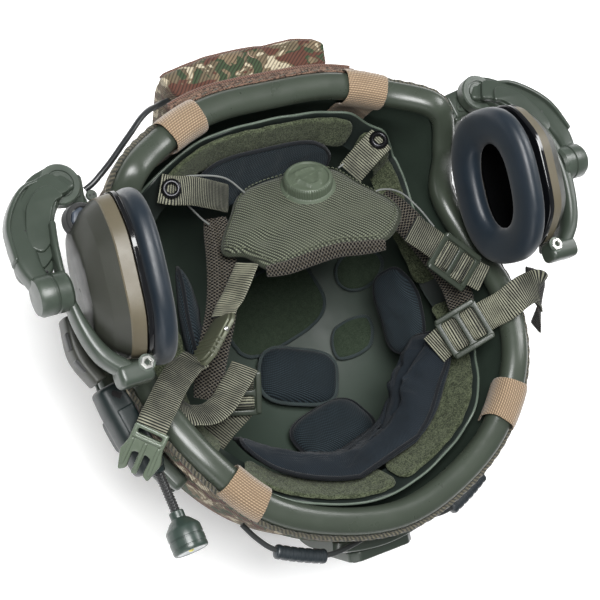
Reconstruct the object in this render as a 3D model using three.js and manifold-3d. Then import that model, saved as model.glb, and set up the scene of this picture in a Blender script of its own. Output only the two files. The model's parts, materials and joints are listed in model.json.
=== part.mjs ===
// Tactical helmet lying on its crown, opening up, as an assembly of separate pieces.
// Millimetres. The crown rests on z = 0, the forehead points to -Y, the nape to +Y,
// and the wearer's right is +X. Bearings are degrees round the crown: 0 right, 90 nape.
import * as THREE from 'three';
import Module from 'manifold-3d';
import { mergeVertices } from 'three/addons/utils/BufferGeometryUtils.js';

const wasm = await Module();
wasm.setup();

// Driving sizes of the bowl
const GAP = 0.3;               // clearance between pieces that touch
const WALL = 8;                // shell wall
const COVER = 1.8;             // cloth cover
const TRIM_WIDTH = 15;         // rolled edge, across
const TRIM_HEIGHT = 13;        // rolled edge, from under to top
const CROWN_DEPTH = 0.9;       // how much of the round crown is pressed flat
const EQUATOR = 119;           // height above its lowest point where the bowl's wall turns straight
const ROUNDNESS = 2.2;         // exponent of the bowl's profile, 2 is an ellipse
const CROWN_Y = -4;            // the crown's place between forehead and nape
const EDGE_DROP = TRIM_HEIGHT / 2 + 3 * GAP;
const FLAT = COVER + GAP;      // height of the shell's pressed crown over the floor
const LOWEST = FLAT - CROWN_DEPTH;

// Right half of the rolled edge's centre line, forehead to nape
const EDGE = [
  { half: 0, y: -128, z: 133 },
  { half: 39, y: -120, z: 132.5 },
  { half: 74, y: -101, z: 134 },
  { half: 99.5, y: -68, z: 138 },
  { half: 113, y: -28, z: 130 },
  { half: 112, y: 11.5, z: 115.5 },
  { half: 107, y: 42, z: 115.5 },
  { half: 104, y: 62, z: 137.5 },
  { half: 96, y: 81, z: 156.5 },
  { half: 70, y: 98, z: 150.5 },
  { half: 39, y: 109, z: 149 },
  { half: 0, y: 111, z: 148.5 },
];

const helmet = new THREE.Group();
const RAD = Math.PI / 180;
const vec = (x, y, z) => new THREE.Vector3(x, y, z);

// The edge as one smooth closed curve, and a table of its reach and height by bearing
const edgePoints = [
  ...EDGE.map((p) => vec(p.half, p.y, p.z)),
  ...EDGE.slice(1, -1).reverse().map((p) => vec(-p.half, p.y, p.z)),
];
const edgeCurve = new THREE.CatmullRomCurve3(edgePoints, true, 'centripetal');
const edgeTable = edgeCurve.getPoints(720).slice(0, 720)
  .map((p) => ({
    bearing: Math.atan2(p.y - CROWN_Y, p.x) / RAD,
    reach: Math.hypot(p.x, p.y - CROWN_Y),
    z: p.z,
  }))
  .sort((a, b) => a.bearing - b.bearing);

function edgeAt(bearing) {
  const wrapped = ((bearing + 180) % 360 + 360) % 360 - 180;
  const count = edgeTable.length;
  let high = edgeTable.findIndex((row) => row.bearing >= wrapped);
  if (high < 0) high = 0;
  const a = edgeTable[(high - 1 + count) % count];
  const b = edgeTable[high];
  const span = ((b.bearing - a.bearing) % 360 + 360) % 360;
  const part = span ? (((wrapped - a.bearing) % 360 + 360) % 360) / span : 0;
  return { reach: a.reach + (b.reach - a.reach) * part, z: a.z + (b.z - a.z) * part };
}

// Share of the full reach at a height: a superellipse up to the equator, then straight
function swell(z) {
  const rise = Math.min(1, Math.max(0, (z - LOWEST) / EQUATOR));
  return (1 - (1 - rise) ** ROUNDNESS) ** (1 / ROUNDNESS);
}

function bowlSkin(bearing, z) {
  const reach = (edgeAt(bearing).reach + WALL / 2) * swell(z);
  return vec(Math.cos(bearing * RAD) * reach, CROWN_Y + Math.sin(bearing * RAD) * reach, z);
}

// A place on the bowl's outer skin, or off it along its normal (minus is inward)
function onBowl(bearing, z, off = 0) {
  const along = bowlSkin(bearing + 1.5, z).sub(bowlSkin(bearing - 1.5, z));
  const up = bowlSkin(bearing, z + 0.4).sub(bowlSkin(bearing, z - 0.4));
  const normal = along.cross(up).normalize();
  return bowlSkin(bearing, z).addScaledVector(normal, off);
}

// The floor inside or outside the bowl under a plan point
function bowlFloor(x, y, off = 0) {
  const bearing = Math.atan2(y - CROWN_Y, x) / RAD;
  const share = Math.min(0.999, Math.hypot(x, y - CROWN_Y) / (edgeAt(bearing).reach + WALL / 2));
  const z = EQUATOR * (1 - (1 - share ** ROUNDNESS) ** (1 / ROUNDNESS)) + LOWEST;
  if (share < 0.06) return vec(x, y, z - off);
  const skin = bowlSkin(bearing, z);
  return onBowl(bearing, z, off).sub(skin).add(vec(x, y, z));
}

// Closed solids from triangles, with faces turned outward
function solid(triangles) {
  const geometry = new THREE.BufferGeometry();
  geometry.setAttribute('position', new THREE.Float32BufferAttribute(triangles.flat(), 3));
  const merged = mergeVertices(geometry, 1e-3);
  const place = merged.attributes.position;
  const faces = [];
  let volume = 0;
  const [a, b, c] = [vec(0, 0, 0), vec(0, 0, 0), vec(0, 0, 0)];
  for (let k = 0; k < merged.index.count; k += 3) {
    const face = [merged.index.getX(k), merged.index.getX(k + 1), merged.index.getX(k + 2)];
    if (face[0] === face[1] || face[1] === face[2] || face[2] === face[0]) continue;
    a.fromBufferAttribute(place, face[0]);
    b.fromBufferAttribute(place, face[1]);
    c.fromBufferAttribute(place, face[2]);
    volume += a.dot(b.cross(c));
    faces.push(face);
  }
  merged.setIndex((volume < 0 ? faces.map((f) => [f[0], f[2], f[1]]) : faces).flat());
  merged.computeVertexNormals();
  return merged;
}

// A wall between two sides over a grid: place(across, up, side) with side 0 inner, 1 outer
function slab(columns, rows, place, loop = false) {
  const triangles = [];
  const quad = (a, b, c, d) => triangles.push(
    ...[a, b, c].map((p) => [p.x, p.y, p.z]), ...[a, c, d].map((p) => [p.x, p.y, p.z]));
  const grid = [0, 1].map((side) => Array.from({ length: columns + 1 }, (_, i) =>
    Array.from({ length: rows + 1 }, (_, j) => place(loop && i === columns ? 0 : i / columns, j / rows, side))));
  const [inner, outer] = grid;
  for (let i = 0; i < columns; i++) {
    for (let j = 0; j < rows; j++) {
      quad(outer[i][j], outer[i + 1][j], outer[i + 1][j + 1], outer[i][j + 1]);
      quad(inner[i][j], inner[i][j + 1], inner[i + 1][j + 1], inner[i + 1][j]);
    }
    quad(inner[i][0], inner[i + 1][0], outer[i + 1][0], outer[i][0]);
    quad(outer[i][rows], outer[i + 1][rows], inner[i + 1][rows], inner[i][rows]);
  }
  for (let j = 0; j < rows && !loop; j++) {
    quad(outer[0][j], outer[0][j + 1], inner[0][j + 1], inner[0][j]);
    quad(inner[columns][j], inner[columns][j + 1], outer[columns][j + 1], outer[columns][j]);
  }
  return solid(triangles);
}

// A skin through rings of equal count, closed by a fan at each end or into a loop
function loft(rings, loop = false) {
  const triangles = [];
  const put = (...points) => triangles.push(...points.map((p) => [p.x, p.y, p.z]));
  const sides = rings[0].length;
  const last = loop ? rings.length : rings.length - 1;
  for (let i = 0; i < last; i++) {
    const low = rings[i];
    const high = rings[(i + 1) % rings.length];
    for (let k = 0; k < sides; k++) {
      const next = (k + 1) % sides;
      put(low[k], low[next], high[next]);
      put(low[k], high[next], high[k]);
    }
  }
  if (!loop) {
    for (const [ring, flip] of [[rings[0], true], [rings[rings.length - 1], false]]) {
      const middle = ring.reduce((sum, p) => sum.add(p), vec(0, 0, 0)).divideScalar(sides);
      for (let k = 0; k < sides; k++) {
        const next = (k + 1) % sides;
        if (flip) put(middle, ring[next], ring[k]);
        else put(middle, ring[k], ring[next]);
      }
    }
  }
  return solid(triangles);
}

// A ring in the plane of two directions; power 2 is an ellipse, more is squarer
function oval(centre, u, v, halfU, halfV, sides, power = 2) {
  return Array.from({ length: sides }, (_, k) => {
    const turn = (k + 0.5) / sides * 2 * Math.PI;
    const [c, s] = [Math.cos(turn), Math.sin(turn)];
    const x = Math.sign(c) * Math.abs(c) ** (2 / power) * halfU;
    const y = Math.sign(s) * Math.abs(s) ** (2 / power) * halfV;
    return centre.clone().addScaledVector(u, x).addScaledVector(v, y);
  });
}

const curveThrough = (points) => new THREE.CatmullRomCurve3(points.map((p) => vec(...p)), false, 'centripetal');

// A bar along a route, whose wide side stays across `face`; size(t) gives half width and half depth
function bar(points, face, size, steps, sides, power = 2) {
  const route = curveThrough(points);
  const toward = vec(...face).normalize();
  const rings = Array.from({ length: steps + 1 }, (_, k) => {
    const t = k / steps;
    const ahead = route.getTangent(t);
    const across = ahead.clone().cross(toward).normalize();
    const depth = across.clone().cross(ahead).normalize();
    const [halfWidth, halfDepth] = size(t);
    return oval(route.getPoint(t), across, depth, halfWidth, halfDepth, sides, power);
  });
  return loft(rings);
}

// A flat webbing strap along a route; `face` is the way its flat side looks
function strap(points, face, width, thick, steps) {
  const route = curveThrough(points);
  const toward = vec(...face).normalize();
  return slab(steps, 1, (t, r, side) => {
    const ahead = route.getTangent(t);
    const across = ahead.clone().cross(toward).normalize();
    const lift = across.clone().cross(ahead).normalize();
    return route.getPoint(t).addScaledVector(across, (r - 0.5) * width).addScaledVector(lift, (side - 0.5) * thick);
  });
}

// A round cord: an octagon extruded along its route
function cord(points, radius, steps) {
  const section = new THREE.Shape(Array.from({ length: 8 }, (_, k) =>
    new THREE.Vector2(Math.cos(k * Math.PI / 4) * radius, Math.sin(k * Math.PI / 4) * radius)));
  return new THREE.ExtrudeGeometry(section, { steps, extrudePath: curveThrough(points), bevelEnabled: false });
}

// A matrix that stands a flat shape at a place, its X along `u` and its thickness along `normal`
function stand(centre, u, normal) {
  const z = vec(...normal).normalize();
  const x = vec(...u).addScaledVector(z, -vec(...u).dot(z)).normalize();
  return new THREE.Matrix4().makeBasis(x, z.clone().cross(x), z).setPosition(vec(...centre));
}

// Solids joined into the first, or cut out of it
function combine(first, others, cut = false) {
  const body = (geometry) => {
    const bare = geometry.clone();
    bare.deleteAttribute('normal');
    bare.deleteAttribute('uv');
    const shape = mergeVertices(bare, 1e-4);
    return new wasm.Manifold(new wasm.Mesh({
      numProp: 3,
      vertProperties: Float32Array.from(shape.attributes.position.array),
      triVerts: Uint32Array.from(shape.index.array),
    }));
  };
  let whole = body(first);
  for (const next of others) whole = cut ? whole.subtract(body(next)) : whole.add(body(next));
  const mesh = whole.getMesh();
  const geometry = new THREE.BufferGeometry();
  geometry.setAttribute('position', new THREE.BufferAttribute(mesh.vertProperties, 3));
  geometry.setIndex(new THREE.BufferAttribute(mesh.triVerts, 1));
  geometry.computeVertexNormals();
  return geometry;
}
const join = (first, ...others) => combine(first, others);

// Finishes
const finish = (color, roughness, metalness = 0) => new THREE.MeshStandardMaterial({ color, roughness, metalness });
const PAINT = finish(0x4a5345, 0.45);
const CAMO = finish(0x8a7a62, 0.9);
const TAN = finish(0xa98667, 0.85);
const LOOP = finish(0x565c48, 0.95);
const PAD = finish(0x252a33, 0.9);
const WEB = finish(0x5d6350, 0.85);
const MESH_CLOTH = finish(0x57514a, 0.95);
const PLASTIC = finish(0x4a5546, 0.5);
const DARK = finish(0x2e332f, 0.6);
const CUP = finish(0x5a5348, 0.6);
const RUBBER = finish(0x1a212a, 0.35);
const GLOSS = finish(0x0c0e10, 0.15);
const STEEL = finish(0x22252a, 0.4, 0.7);
const SLATE = finish(0x3b4650, 0.6);

function add(name, geometry, material) {
  const mesh = new THREE.Mesh(geometry, material);
  mesh.name = name;
  helmet.add(mesh);
}

// Bowl: a ring of columns round the crown, rows closer together near it
const BOWL_COLUMNS = 40;
const BOWL_ROWS = 8;
const columnBearings = edgeCurve.getSpacedPoints(BOWL_COLUMNS)
  .map((p) => Math.atan2(p.y - CROWN_Y, p.x) / RAD);
const CROWN_ROW = 6.1;         // degrees of the profile's quarter turn that the flat crown takes

function bowlWall(rows, low, high) {
  return slab(BOWL_COLUMNS, rows.length, (c, r, side) => {
    const off = side ? high : low;
    const row = Math.round(r * rows.length);
    if (row === 0) return vec(0, CROWN_Y, FLAT - off);
    const bearing = columnBearings[Math.round(c * BOWL_COLUMNS)];
    const { z, extra = 0 } = rows[row - 1](bearing);
    const point = onBowl(bearing, z, off + extra);
    point.z = Math.max(FLAT - off, point.z);
    return point;
  }, true);
}

const bowlRows = Array.from({ length: BOWL_ROWS }, (_, k) => (bearing) => {
  const top = edgeAt(bearing).z - EDGE_DROP;
  const turn = (CROWN_ROW + (90 - CROWN_ROW) * k / (BOWL_ROWS - 1)) * RAD;
  return { z: LOWEST + (top - LOWEST) * (1 - Math.cos(turn)) };
});

add('shell', bowlWall(bowlRows, -WALL, 0), PAINT);

// Cover: a cloth skin whose hem stands up outside the rolled edge
const HEM_ROOT = 17;           // how far under the edge the cloth leaves the shell
const HEM_LOW = 9;
const HEM_OUT = 3.6;           // how far the hem stands off
const HEM_TOP = 1;
const coverRows = [
  ...bowlRows.slice(0, -1),
  (bearing) => ({ z: edgeAt(bearing).z - HEM_ROOT, extra: GAP }),
  (bearing) => ({ z: edgeAt(bearing).z - HEM_LOW, extra: HEM_OUT }),
  (bearing) => ({ z: edgeAt(bearing).z - HEM_TOP, extra: HEM_OUT }),
];
add('cover', bowlWall(coverRows, GAP, GAP + COVER), CAMO);

// Rolled edge
function edgeFrame(bearing) {
  const spread = 0.6;
  const foot = (b) => {
    const { reach, z } = edgeAt(b);
    return vec(Math.cos(b * RAD) * reach, CROWN_Y + Math.sin(b * RAD) * reach, z);
  };
  const ahead = foot(bearing + spread).sub(foot(bearing - spread));
  return { foot: foot(bearing), out: vec(ahead.y, -ahead.x, 0).normalize() };
}
const TRIM_SIDES = 10;
add('rim_trim', loft(columnBearings.slice(0, BOWL_COLUMNS).map((bearing) => {
  const { foot, out } = edgeFrame(bearing);
  return oval(foot, out, vec(0, 0, 1), TRIM_WIDTH / 2, TRIM_HEIGHT / 2, TRIM_SIDES, 2.4);
}), true), PAINT);

// A strip that follows the bowl
// heights are above the floor, or below the rolled edge where `fromEdge` is set
function bowlStrip({ from, to, low, high, near, far, columns = 6, rows = 2, fromEdge = false }) {
  return slab(columns, rows, (c, r, side) => {
    const bearing = from + (to - from) * c;
    const edge = fromEdge ? edgeAt(bearing).z : 0;
    return onBowl(bearing, edge + low + (high - low) * r, side ? far : near);
  });
}

// Elastic tabs of the cover that fold over the rolled edge
const TAB_WIDTH = 25;
const TAB_THICK = 1.2;
const TAB_PATH = [
  { out: -5.4, up: -9.5 }, { out: -8, up: -4 }, { out: -8, up: 2.5 }, { out: -5.2, up: 6.4 }, { out: 0, up: 7.2 },
  { out: 5.2, up: 6.4 }, { out: 8, up: 3.4 }, { out: 10.3, up: -0.5 }, { out: 10.3, up: -13 },
];
const TABS = [
  { name: 'cover_tab_rear_right', bearing: 61.9, leg: -30 },
  { name: 'cover_tab_rear_left', bearing: 118.1, leg: -30 },
  { name: 'cover_tab_front_right', bearing: -45.6, leg: -11 },
  { name: 'cover_tab_front_left', bearing: -134.4, leg: -11 },
];
for (const { name, bearing, leg } of TABS) {
  const halfTurn = TAB_WIDTH / 2 / edgeAt(bearing).reach / RAD;
  const path = [{ out: -5.4, up: leg }, ...TAB_PATH];
  const steps = path.length - 1;
  add(name, slab(2, steps, (c, r, side) => {
    const { foot, out } = edgeFrame(bearing + (c * 2 - 1) * halfTurn);
    const k = Math.round(r * steps);
    const before = path[Math.max(0, k - 1)];
    const after = path[Math.min(steps, k + 1)];
    const run = Math.hypot(after.out - before.out, after.up - before.up);
    const off = side ? GAP + TAB_THICK : GAP;
    const outward = path[k].out - (after.up - before.up) / run * off;
    return foot.addScaledVector(out, outward).add(vec(0, 0, path[k].up + (after.out - before.out) / run * off));
  }), TAN);
}

// Rear pouch: a soft box that hugs the nape
const POUCH = { from: 70, to: 111.8, low: 58, high: 137, near: 7.6, far: 29 };
add('rear_pouch', slab(8, 5, (c, r, side) => {
  const bearing = POUCH.from + (POUCH.to - POUCH.from) * c;
  const z = POUCH.low + (POUCH.high - POUCH.low) * r;
  const taper = 1 - 0.25 * (1 - r);
  const edgeRound = 1 - 0.12 * Math.abs(2 * c - 1) ** 4;
  return onBowl(bearing, z, side ? POUCH.near + (POUCH.far - POUCH.near) * taper * edgeRound : POUCH.near);
}), CAMO);

// Lead from the pouch to the left headset bracket, held all the way
const LEAD_RADIUS = 1.65;
const LEAD_ROUTE = [
  [-60, 122, 134], [-66.5, 119.5, 138], [-74, 115, 141.5], [-82, 108.5, 143.5], [-90.5, 101.5, 143.5],
  [-99, 94.5, 143], [-106.5, 89, 142], [-111, 86, 140.5], [-115.6, 84, 138.5],
];
add('headset_lead', cord(LEAD_ROUTE, LEAD_RADIUS, 12), RUBBER);

// Thin frame of the liner: a ring inside the shell whose wall leans in under its top edge
const LINER = { thick: 1.5, inset: 6, clear: 3 * GAP };
const LINER_SHAPE = [
  { bearing: -90, z: 119, lean: 11, fall: 20 },
  { bearing: -45, z: 121, lean: 10, fall: 20 },
  { bearing: -25, z: 110, lean: 8, fall: 18 },
  { bearing: 0, z: 96, lean: 8, fall: 18 },
  { bearing: 20, z: 97, lean: 8, fall: 18 },
  { bearing: 38, z: 104, lean: 8, fall: 18 },
  { bearing: 52, z: 128, lean: 10, fall: 20 },
  { bearing: 65, z: 137, lean: 8, fall: 22 },
  { bearing: 90, z: 138, lean: 8, fall: 22 },
  { bearing: 115, z: 137, lean: 8, fall: 22 },
  { bearing: 128, z: 128, lean: 14, fall: 20 },
  { bearing: 142, z: 104, lean: 19, fall: 14 },
  { bearing: 160, z: 97, lean: 22, fall: 12 },
  { bearing: 180, z: 96, lean: 22, fall: 12 },
  { bearing: 205, z: 110, lean: 10, fall: 16 },
  { bearing: 225, z: 121, lean: 12, fall: 20 },
  { bearing: 270, z: 119, lean: 11, fall: 20 },
];
function linerAt(bearing) {
  const wrapped = ((bearing + 90) % 360 + 360) % 360 - 90;
  const high = Math.max(1, LINER_SHAPE.findIndex((row) => row.bearing >= wrapped));
  const [a, b] = [LINER_SHAPE[high - 1], LINER_SHAPE[high]];
  const t = (wrapped - a.bearing) / (b.bearing - a.bearing);
  const ease = t * t * (3 - 2 * t);
  const mix = (key) => a[key] + (b[key] - a[key]) * ease;
  return { z: mix('z'), lean: mix('lean'), fall: mix('fall') };
}

// How far inside the outer skin the liner's outer face stands at a height
function linerOff(bearing, z) {
  const { z: top, lean, fall } = linerAt(bearing);
  return -WALL - LINER.inset - lean * Math.min(1, Math.max(0, (top - z) / fall));
}
const LINER_STEP = 9;          // degrees; felt and pads share these bearings
add('liner_frame', slab(360 / LINER_STEP, 2, (c, r, side) => {
  const bearing = c * 360 - 90;
  const { z, fall } = linerAt(bearing);
  const height = z - fall * (1 - r);
  return onBowl(bearing, height, linerOff(bearing, height) - (side ? 0 : LINER.thick));
}, true), DARK);

// Felt bands on the liner's inner face
const FELT = 2.8;
const feltOff = (bearing, z) => linerOff(bearing, z) - LINER.thick - LINER.clear;
const FELT_BANDS = [
  { name: 'felt_band_rear', from: 63, to: 126 },
  { name: 'felt_band_right', from: 0, to: 45 },
  { name: 'felt_band_left', from: 144, to: 216 },
  { name: 'felt_band_front', from: -135, to: -9 },
];
const BAND_TOP = 1.5;          // how far the band's edge lies under the liner's
for (const { name, from, to } of FELT_BANDS) {
  add(name, slab((to - from) / LINER_STEP, 2, (c, r, side) => {
    const bearing = from + (to - from) * c;
    const { z, fall } = linerAt(bearing);
    const height = z - BAND_TOP - (fall - BAND_TOP) * (1 - r);
    return onBowl(bearing, height, feltOff(bearing, height) - (side ? 0 : FELT));
  }), LOOP);
}

// Foam pads of the liner that hang on the felt
const WALL_PADS = [
  { name: 'rear_pad', from: 63, to: 117, low: 72, high: 116, thick: 16, top: 4 },
  { name: 'temple_pad_left', from: 153, to: 189, low: 44, high: 80, thick: 12, top: 12 },
  { name: 'temple_pad_right', from: -27, to: 9, low: 44, high: 82, thick: 12, top: 12 },
  { name: 'front_pad', from: -135, to: -36, low: 64, high: 101, thick: 15, top: 15 },
];
const PAD_ROUND = 7;
const PAD_TAPER = 30;          // height over which a pad thins to its top
for (const { name, from, to, low, high, thick, top } of WALL_PADS) {
  add(name, slab((to - from) / LINER_STEP, 4, (c, r, side) => {
    const bearing = from + (to - from) * c;
    const squeeze = PAD_ROUND * (1 - Math.sin(Math.PI * (0.08 + 0.84 * c)) ** 0.5);
    const height = low + squeeze + (high - low - 2 * squeeze) * r;
    const depth = top + (thick - top) * Math.min(1, (high - height) / PAD_TAPER);
    return onBowl(bearing, height, feltOff(bearing, height) - FELT - LINER.clear - (side ? 0 : depth));
  }), PAD);
}

// The shell's flat facets stand in a little, so what lies on it keeps this far off its true curve
const STAND_OFF = 1.4;
const PATCH_TOP = 4.2;

// Pads and felt that lie on the crown, by plan place
const FLOOR_PIECES = [
  { name: 'crown_pad_rear', x: 24, y: -35, halfX: 27, halfY: 20, turn: -24, low: 1.7, high: 17, power: 3.4 },
  { name: 'crown_pad_front', x: 27, y: -79, halfX: 27, halfY: 17, turn: 12, low: 1.7, high: 17, power: 3.2 },
  { name: 'felt_patch_crown', x: 24, y: 16, halfX: 36, halfY: 25, turn: 14, low: STAND_OFF, high: PATCH_TOP, power: 3.4 },
  { name: 'felt_patch_round', x: 84, y: 21, halfX: 12, halfY: 12, turn: 0, low: STAND_OFF, high: PATCH_TOP, power: 2 },
  { name: 'felt_patch_side', x: 69, y: -20, halfX: 16, halfY: 12, turn: 40, low: STAND_OFF, high: PATCH_TOP, power: 1.5 },
];
for (const { name, x, y, halfX, halfY, turn, low, high, power } of FLOOR_PIECES) {
  const [u, v] = [vec(Math.cos(turn * RAD), Math.sin(turn * RAD), 0), vec(-Math.sin(turn * RAD), Math.cos(turn * RAD), 0)];
  const sides = 16;
  const layer = (share, off) => oval(vec(x, y, 0), u, v, halfX * share, halfY * share, sides, power)
    .map((p) => bowlFloor(p.x, p.y, -WALL - off));
  const crown = high > 10;
  const rings = crown
    ? [layer(0.45, low), layer(0.9, low), layer(1, low + (high - low) * 0.4), layer(0.93, low + (high - low) * 0.8), layer(0.6, high)]
    : [layer(0.5, low), layer(1, low), layer(1, high), layer(0.5, high)];
  add(name, loft(rings), crown ? PAD : LOOP);
}

// Nape panel: a padded plate that leans back over the hollow, in its own plane
const PANEL = { centre: [18.4, 59.3, 120], normal: [-0.157, 0.575, 0.815], thick: 7 };
const PANEL_OUTLINE = [
  { a: -30, b: 21 }, { a: -46, b: 6 }, { a: -63, b: -18 }, { a: -54, b: -25 }, { a: -46, b: -42 },
  { a: -29, b: -42 }, { a: -8, b: -43 }, { a: 17, b: -52 }, { a: 30, b: -46 }, { a: 39, b: -34 },
  { a: 30, b: -5 }, { a: 22, b: 14 },
];
const panelShape = new THREE.Shape(PANEL_OUTLINE.map((p) => new THREE.Vector2(p.a, p.b)));
const panelPlace = stand(PANEL.centre, [1, 0, 0], PANEL.normal);
const panelBody = new THREE.ExtrudeGeometry(panelShape, {
  depth: PANEL.thick - 2, bevelThickness: 1, bevelSize: 1.2, bevelOffset: -1.2, bevelSegments: 1,
});
panelBody.translate(0, 0, -PANEL.thick + 1);
add('nape_panel', panelBody.applyMatrix4(panelPlace), WEB);

// Fit dial with its flange
const DIAL = { radius: 14, flange: 16, tall: 8.5, a: 2.2, b: 3.8 };
const DIAL_PROFILE = [
  [0, GAP], [DIAL.flange, GAP], [DIAL.flange, 1.8], [DIAL.radius, 2], [DIAL.radius, 7], [DIAL.radius - 1.2, DIAL.tall],
  [0, DIAL.tall],
];
const dial = new THREE.LatheGeometry(DIAL_PROFILE.map(([r, h]) => new THREE.Vector2(r, h)), 16);
dial.rotateX(Math.PI / 2);
dial.translate(DIAL.a, DIAL.b, 0);
add('fit_dial', dial.applyMatrix4(panelPlace), PLASTIC);

// Webbing straps, each by its route from its hidden end
const STRAPS = [
  {
    name: 'strap_rear_left', width: 16, thick: 1.6, steps: 7, face: [-0.35, -0.1, 1],
    route: [[-72, 78.5, 129.5], [-66, 75.5, 130.5], [-54, 73.5, 128], [-40, 70.5, 121], [-27, 68.5, 111.5]],
  },
  {
    name: 'strap_rear_right', width: 16, thick: 1.6, steps: 6, face: [-0.2, 0.1, 1],
    route: [[71, 77.6, 129.5], [66.5, 75.5, 129], [58, 70.5, 125.5], [49.5, 64.5, 118.5]],
  },
  {
    name: 'strap_side_left', width: 15, thick: 1.6, steps: 5, face: [-0.75, 0.25, 0.6],
    route: [[-36, 27, 127], [-43, 19.5, 127.5], [-50, 12, 127], [-56, 7, 127]],
  },
  {
    name: 'strap_side_right', width: 16, thick: 1.6, steps: 7, face: [-0.29, -0.1, 0.95],
    route: [[60, 20, 144], [74, 8.2, 139.5], [85.4, -2.7, 136], [96.6, -13.2, 133], [102, -18.5, 133.5]],
  },
  {
    name: 'chin_strap_left', width: 18, thick: 1.6, steps: 14, face: [-0.45, -0.12, 0.88],
    route: [
      [-127, -45.5, 155], [-122.5, -40.8, 156], [-114, -36.8, 150.5], [-100, -30.5, 141], [-89, -25.5, 133], [-87, -33, 127], [-96, -44, 128],
      [-88, -51, 124], [-74, -46.5, 119.5], [-62, -37.5, 117], [-54, -29, 116],
    ],
  },
  {
    name: 'chin_strap_left_root', width: 18, thick: 1.6, steps: 4, face: [-0.45, -0.12, 0.88],
    route: [[-52, -43, 100], [-59, -47, 97.5], [-66, -51.5, 93], [-73, -57, 87]],
  },
  {
    name: 'chin_strap_right', width: 18, thick: 1.6, steps: 14, face: [-0.5, -0.1, 0.85],
    route: [
      [66, -48, 112.5], [73.5, -44.7, 116.3], [85.8, -41.7, 124.2], [95.3, -39.1, 132.8], [101.2, -37.8, 145],
      [112, -36.4, 150.5], [121.5, -36, 149.5], [129, -38, 144.5], [133, -44, 136], [134.5, -51, 126],
    ],
  },
];
for (const { name, route, face, width, thick, steps } of STRAPS) {
  add(name, strap(route, face, width, thick, steps), WEB);
}

// Padded mesh arms either side of the panel
const MESH_ARMS = [
  { name: 'mesh_arm_left', half: 8.5, route: [[-47, 50, 96], [-50, 38, 102], [-58, 15, 105], [-67, -10, 106], [-77, -35, 105.5]] },
  { name: 'mesh_arm_right', half: 8.5, route: [[69, 48, 110], [76, 30, 116], [84, 8, 119], [91, -14, 119], [94, -36, 112]] },
];
for (const { name, half, route } of MESH_ARMS) {
  add(name, bar(route, [-0.4, -0.1, 0.9], (t) => [half * (1 - 0.25 * Math.abs(2 * t - 1) ** 6), 2.6], 9, 8, 3), MESH_CLOTH);
}

const CLIP = { thick: 2.6, bar: 3 };

// Slotted strap clips: a plate with two slots and a middle bar
function clip({ centre, along, normal, wide, long }) {
  const [w, l, chamfer] = [wide / 2, long / 2, 2];
  const outline = [
    [-l, -w + chamfer], [-l + chamfer, -w], [l - chamfer, -w], [l, -w + chamfer],
    [l, w - chamfer], [l - chamfer, w], [-l + chamfer, w], [-l, w - chamfer],
  ];
  const plate = new THREE.ExtrudeGeometry(
    new THREE.Shape(outline.map((p) => new THREE.Vector2(...p))), { depth: CLIP.thick, bevelEnabled: false });
  plate.translate(0, 0, -CLIP.thick / 2);
  const slotLong = l - CLIP.bar * 1.5;
  const slots = [-1, 1].map((side) => new THREE.BoxGeometry(slotLong, wide - 2 * CLIP.bar, 2 * CLIP.thick)
    .translate(side * (CLIP.bar + slotLong) / 2, 0, 0));
  return combine(plate, slots, true).applyMatrix4(stand(centre, along, normal));
}
const CLIPS = [
  { name: 'strap_clip_side_right', centre: [85.2, -3.6, 138.8], along: [0.7, -0.68, -0.2], normal: [-0.06, -0.34, 0.94], wide: 23, long: 29 },
  { name: 'strap_clip_chin_right', centre: [82, -42.4, 126.5], along: [0.82, 0.2, 0.54], normal: [-0.6, -0.1, 0.85], wide: 25, long: 27 },
  { name: 'strap_clip_chin_left', centre: [-56, -38, 107], along: [-3, -19, -8], normal: [-0.39, -0.31, 0.87], wide: 22, long: 25 },
];
for (const { name, ...shape } of CLIPS) add(name, clip(shape), PLASTIC);

// Flat ladder buckle on the left side strap, seen on its edge
const LADDER = { centre: [-71.5, -8.5, 131], along: [-27, -21, 4], normal: [-0.62, 0.75, 0.2] };
const ladderShape = new THREE.Shape();
ladderShape.moveTo(-17, -7).lineTo(-12, -9.5).lineTo(12, -9.5).lineTo(17, -6);
ladderShape.lineTo(17, 6).lineTo(12, 9.5).lineTo(-12, 9.5).lineTo(-17, 7);
const ladder = new THREE.ExtrudeGeometry(ladderShape, { depth: 4, bevelEnabled: false });
ladder.translate(0, 0, -2);
add('ladder_buckle', ladder.applyMatrix4(stand(LADDER.centre, LADDER.along, LADDER.normal)), PLASTIC);

// Side-release buckle: the half with three prongs, on the chin strap's free end
const PRONGS = { centre: [-134, -54.5, 150], along: [-6, -7.7, -4.3], normal: [-0.5, -0.1, 0.85] };
const prongShape = new THREE.Shape();
prongShape.moveTo(-12, -9).lineTo(-3, -9).lineTo(3, -11).lineTo(13, -8).lineTo(11, -4.5).lineTo(2, -5);
prongShape.lineTo(1, -1.5).lineTo(12, -1.5).lineTo(12, 1.5).lineTo(1, 1.5);
prongShape.lineTo(2, 5).lineTo(11, 4.5).lineTo(13, 8).lineTo(3, 11).lineTo(-3, 9).lineTo(-12, 9);
const prongs = new THREE.ExtrudeGeometry(prongShape, { depth: 4, bevelEnabled: false });
prongs.translate(0, 0, -2);
add('side_release_buckle', prongs.applyMatrix4(stand(PRONGS.centre, PRONGS.along, PRONGS.normal)), PLASTIC);

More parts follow.
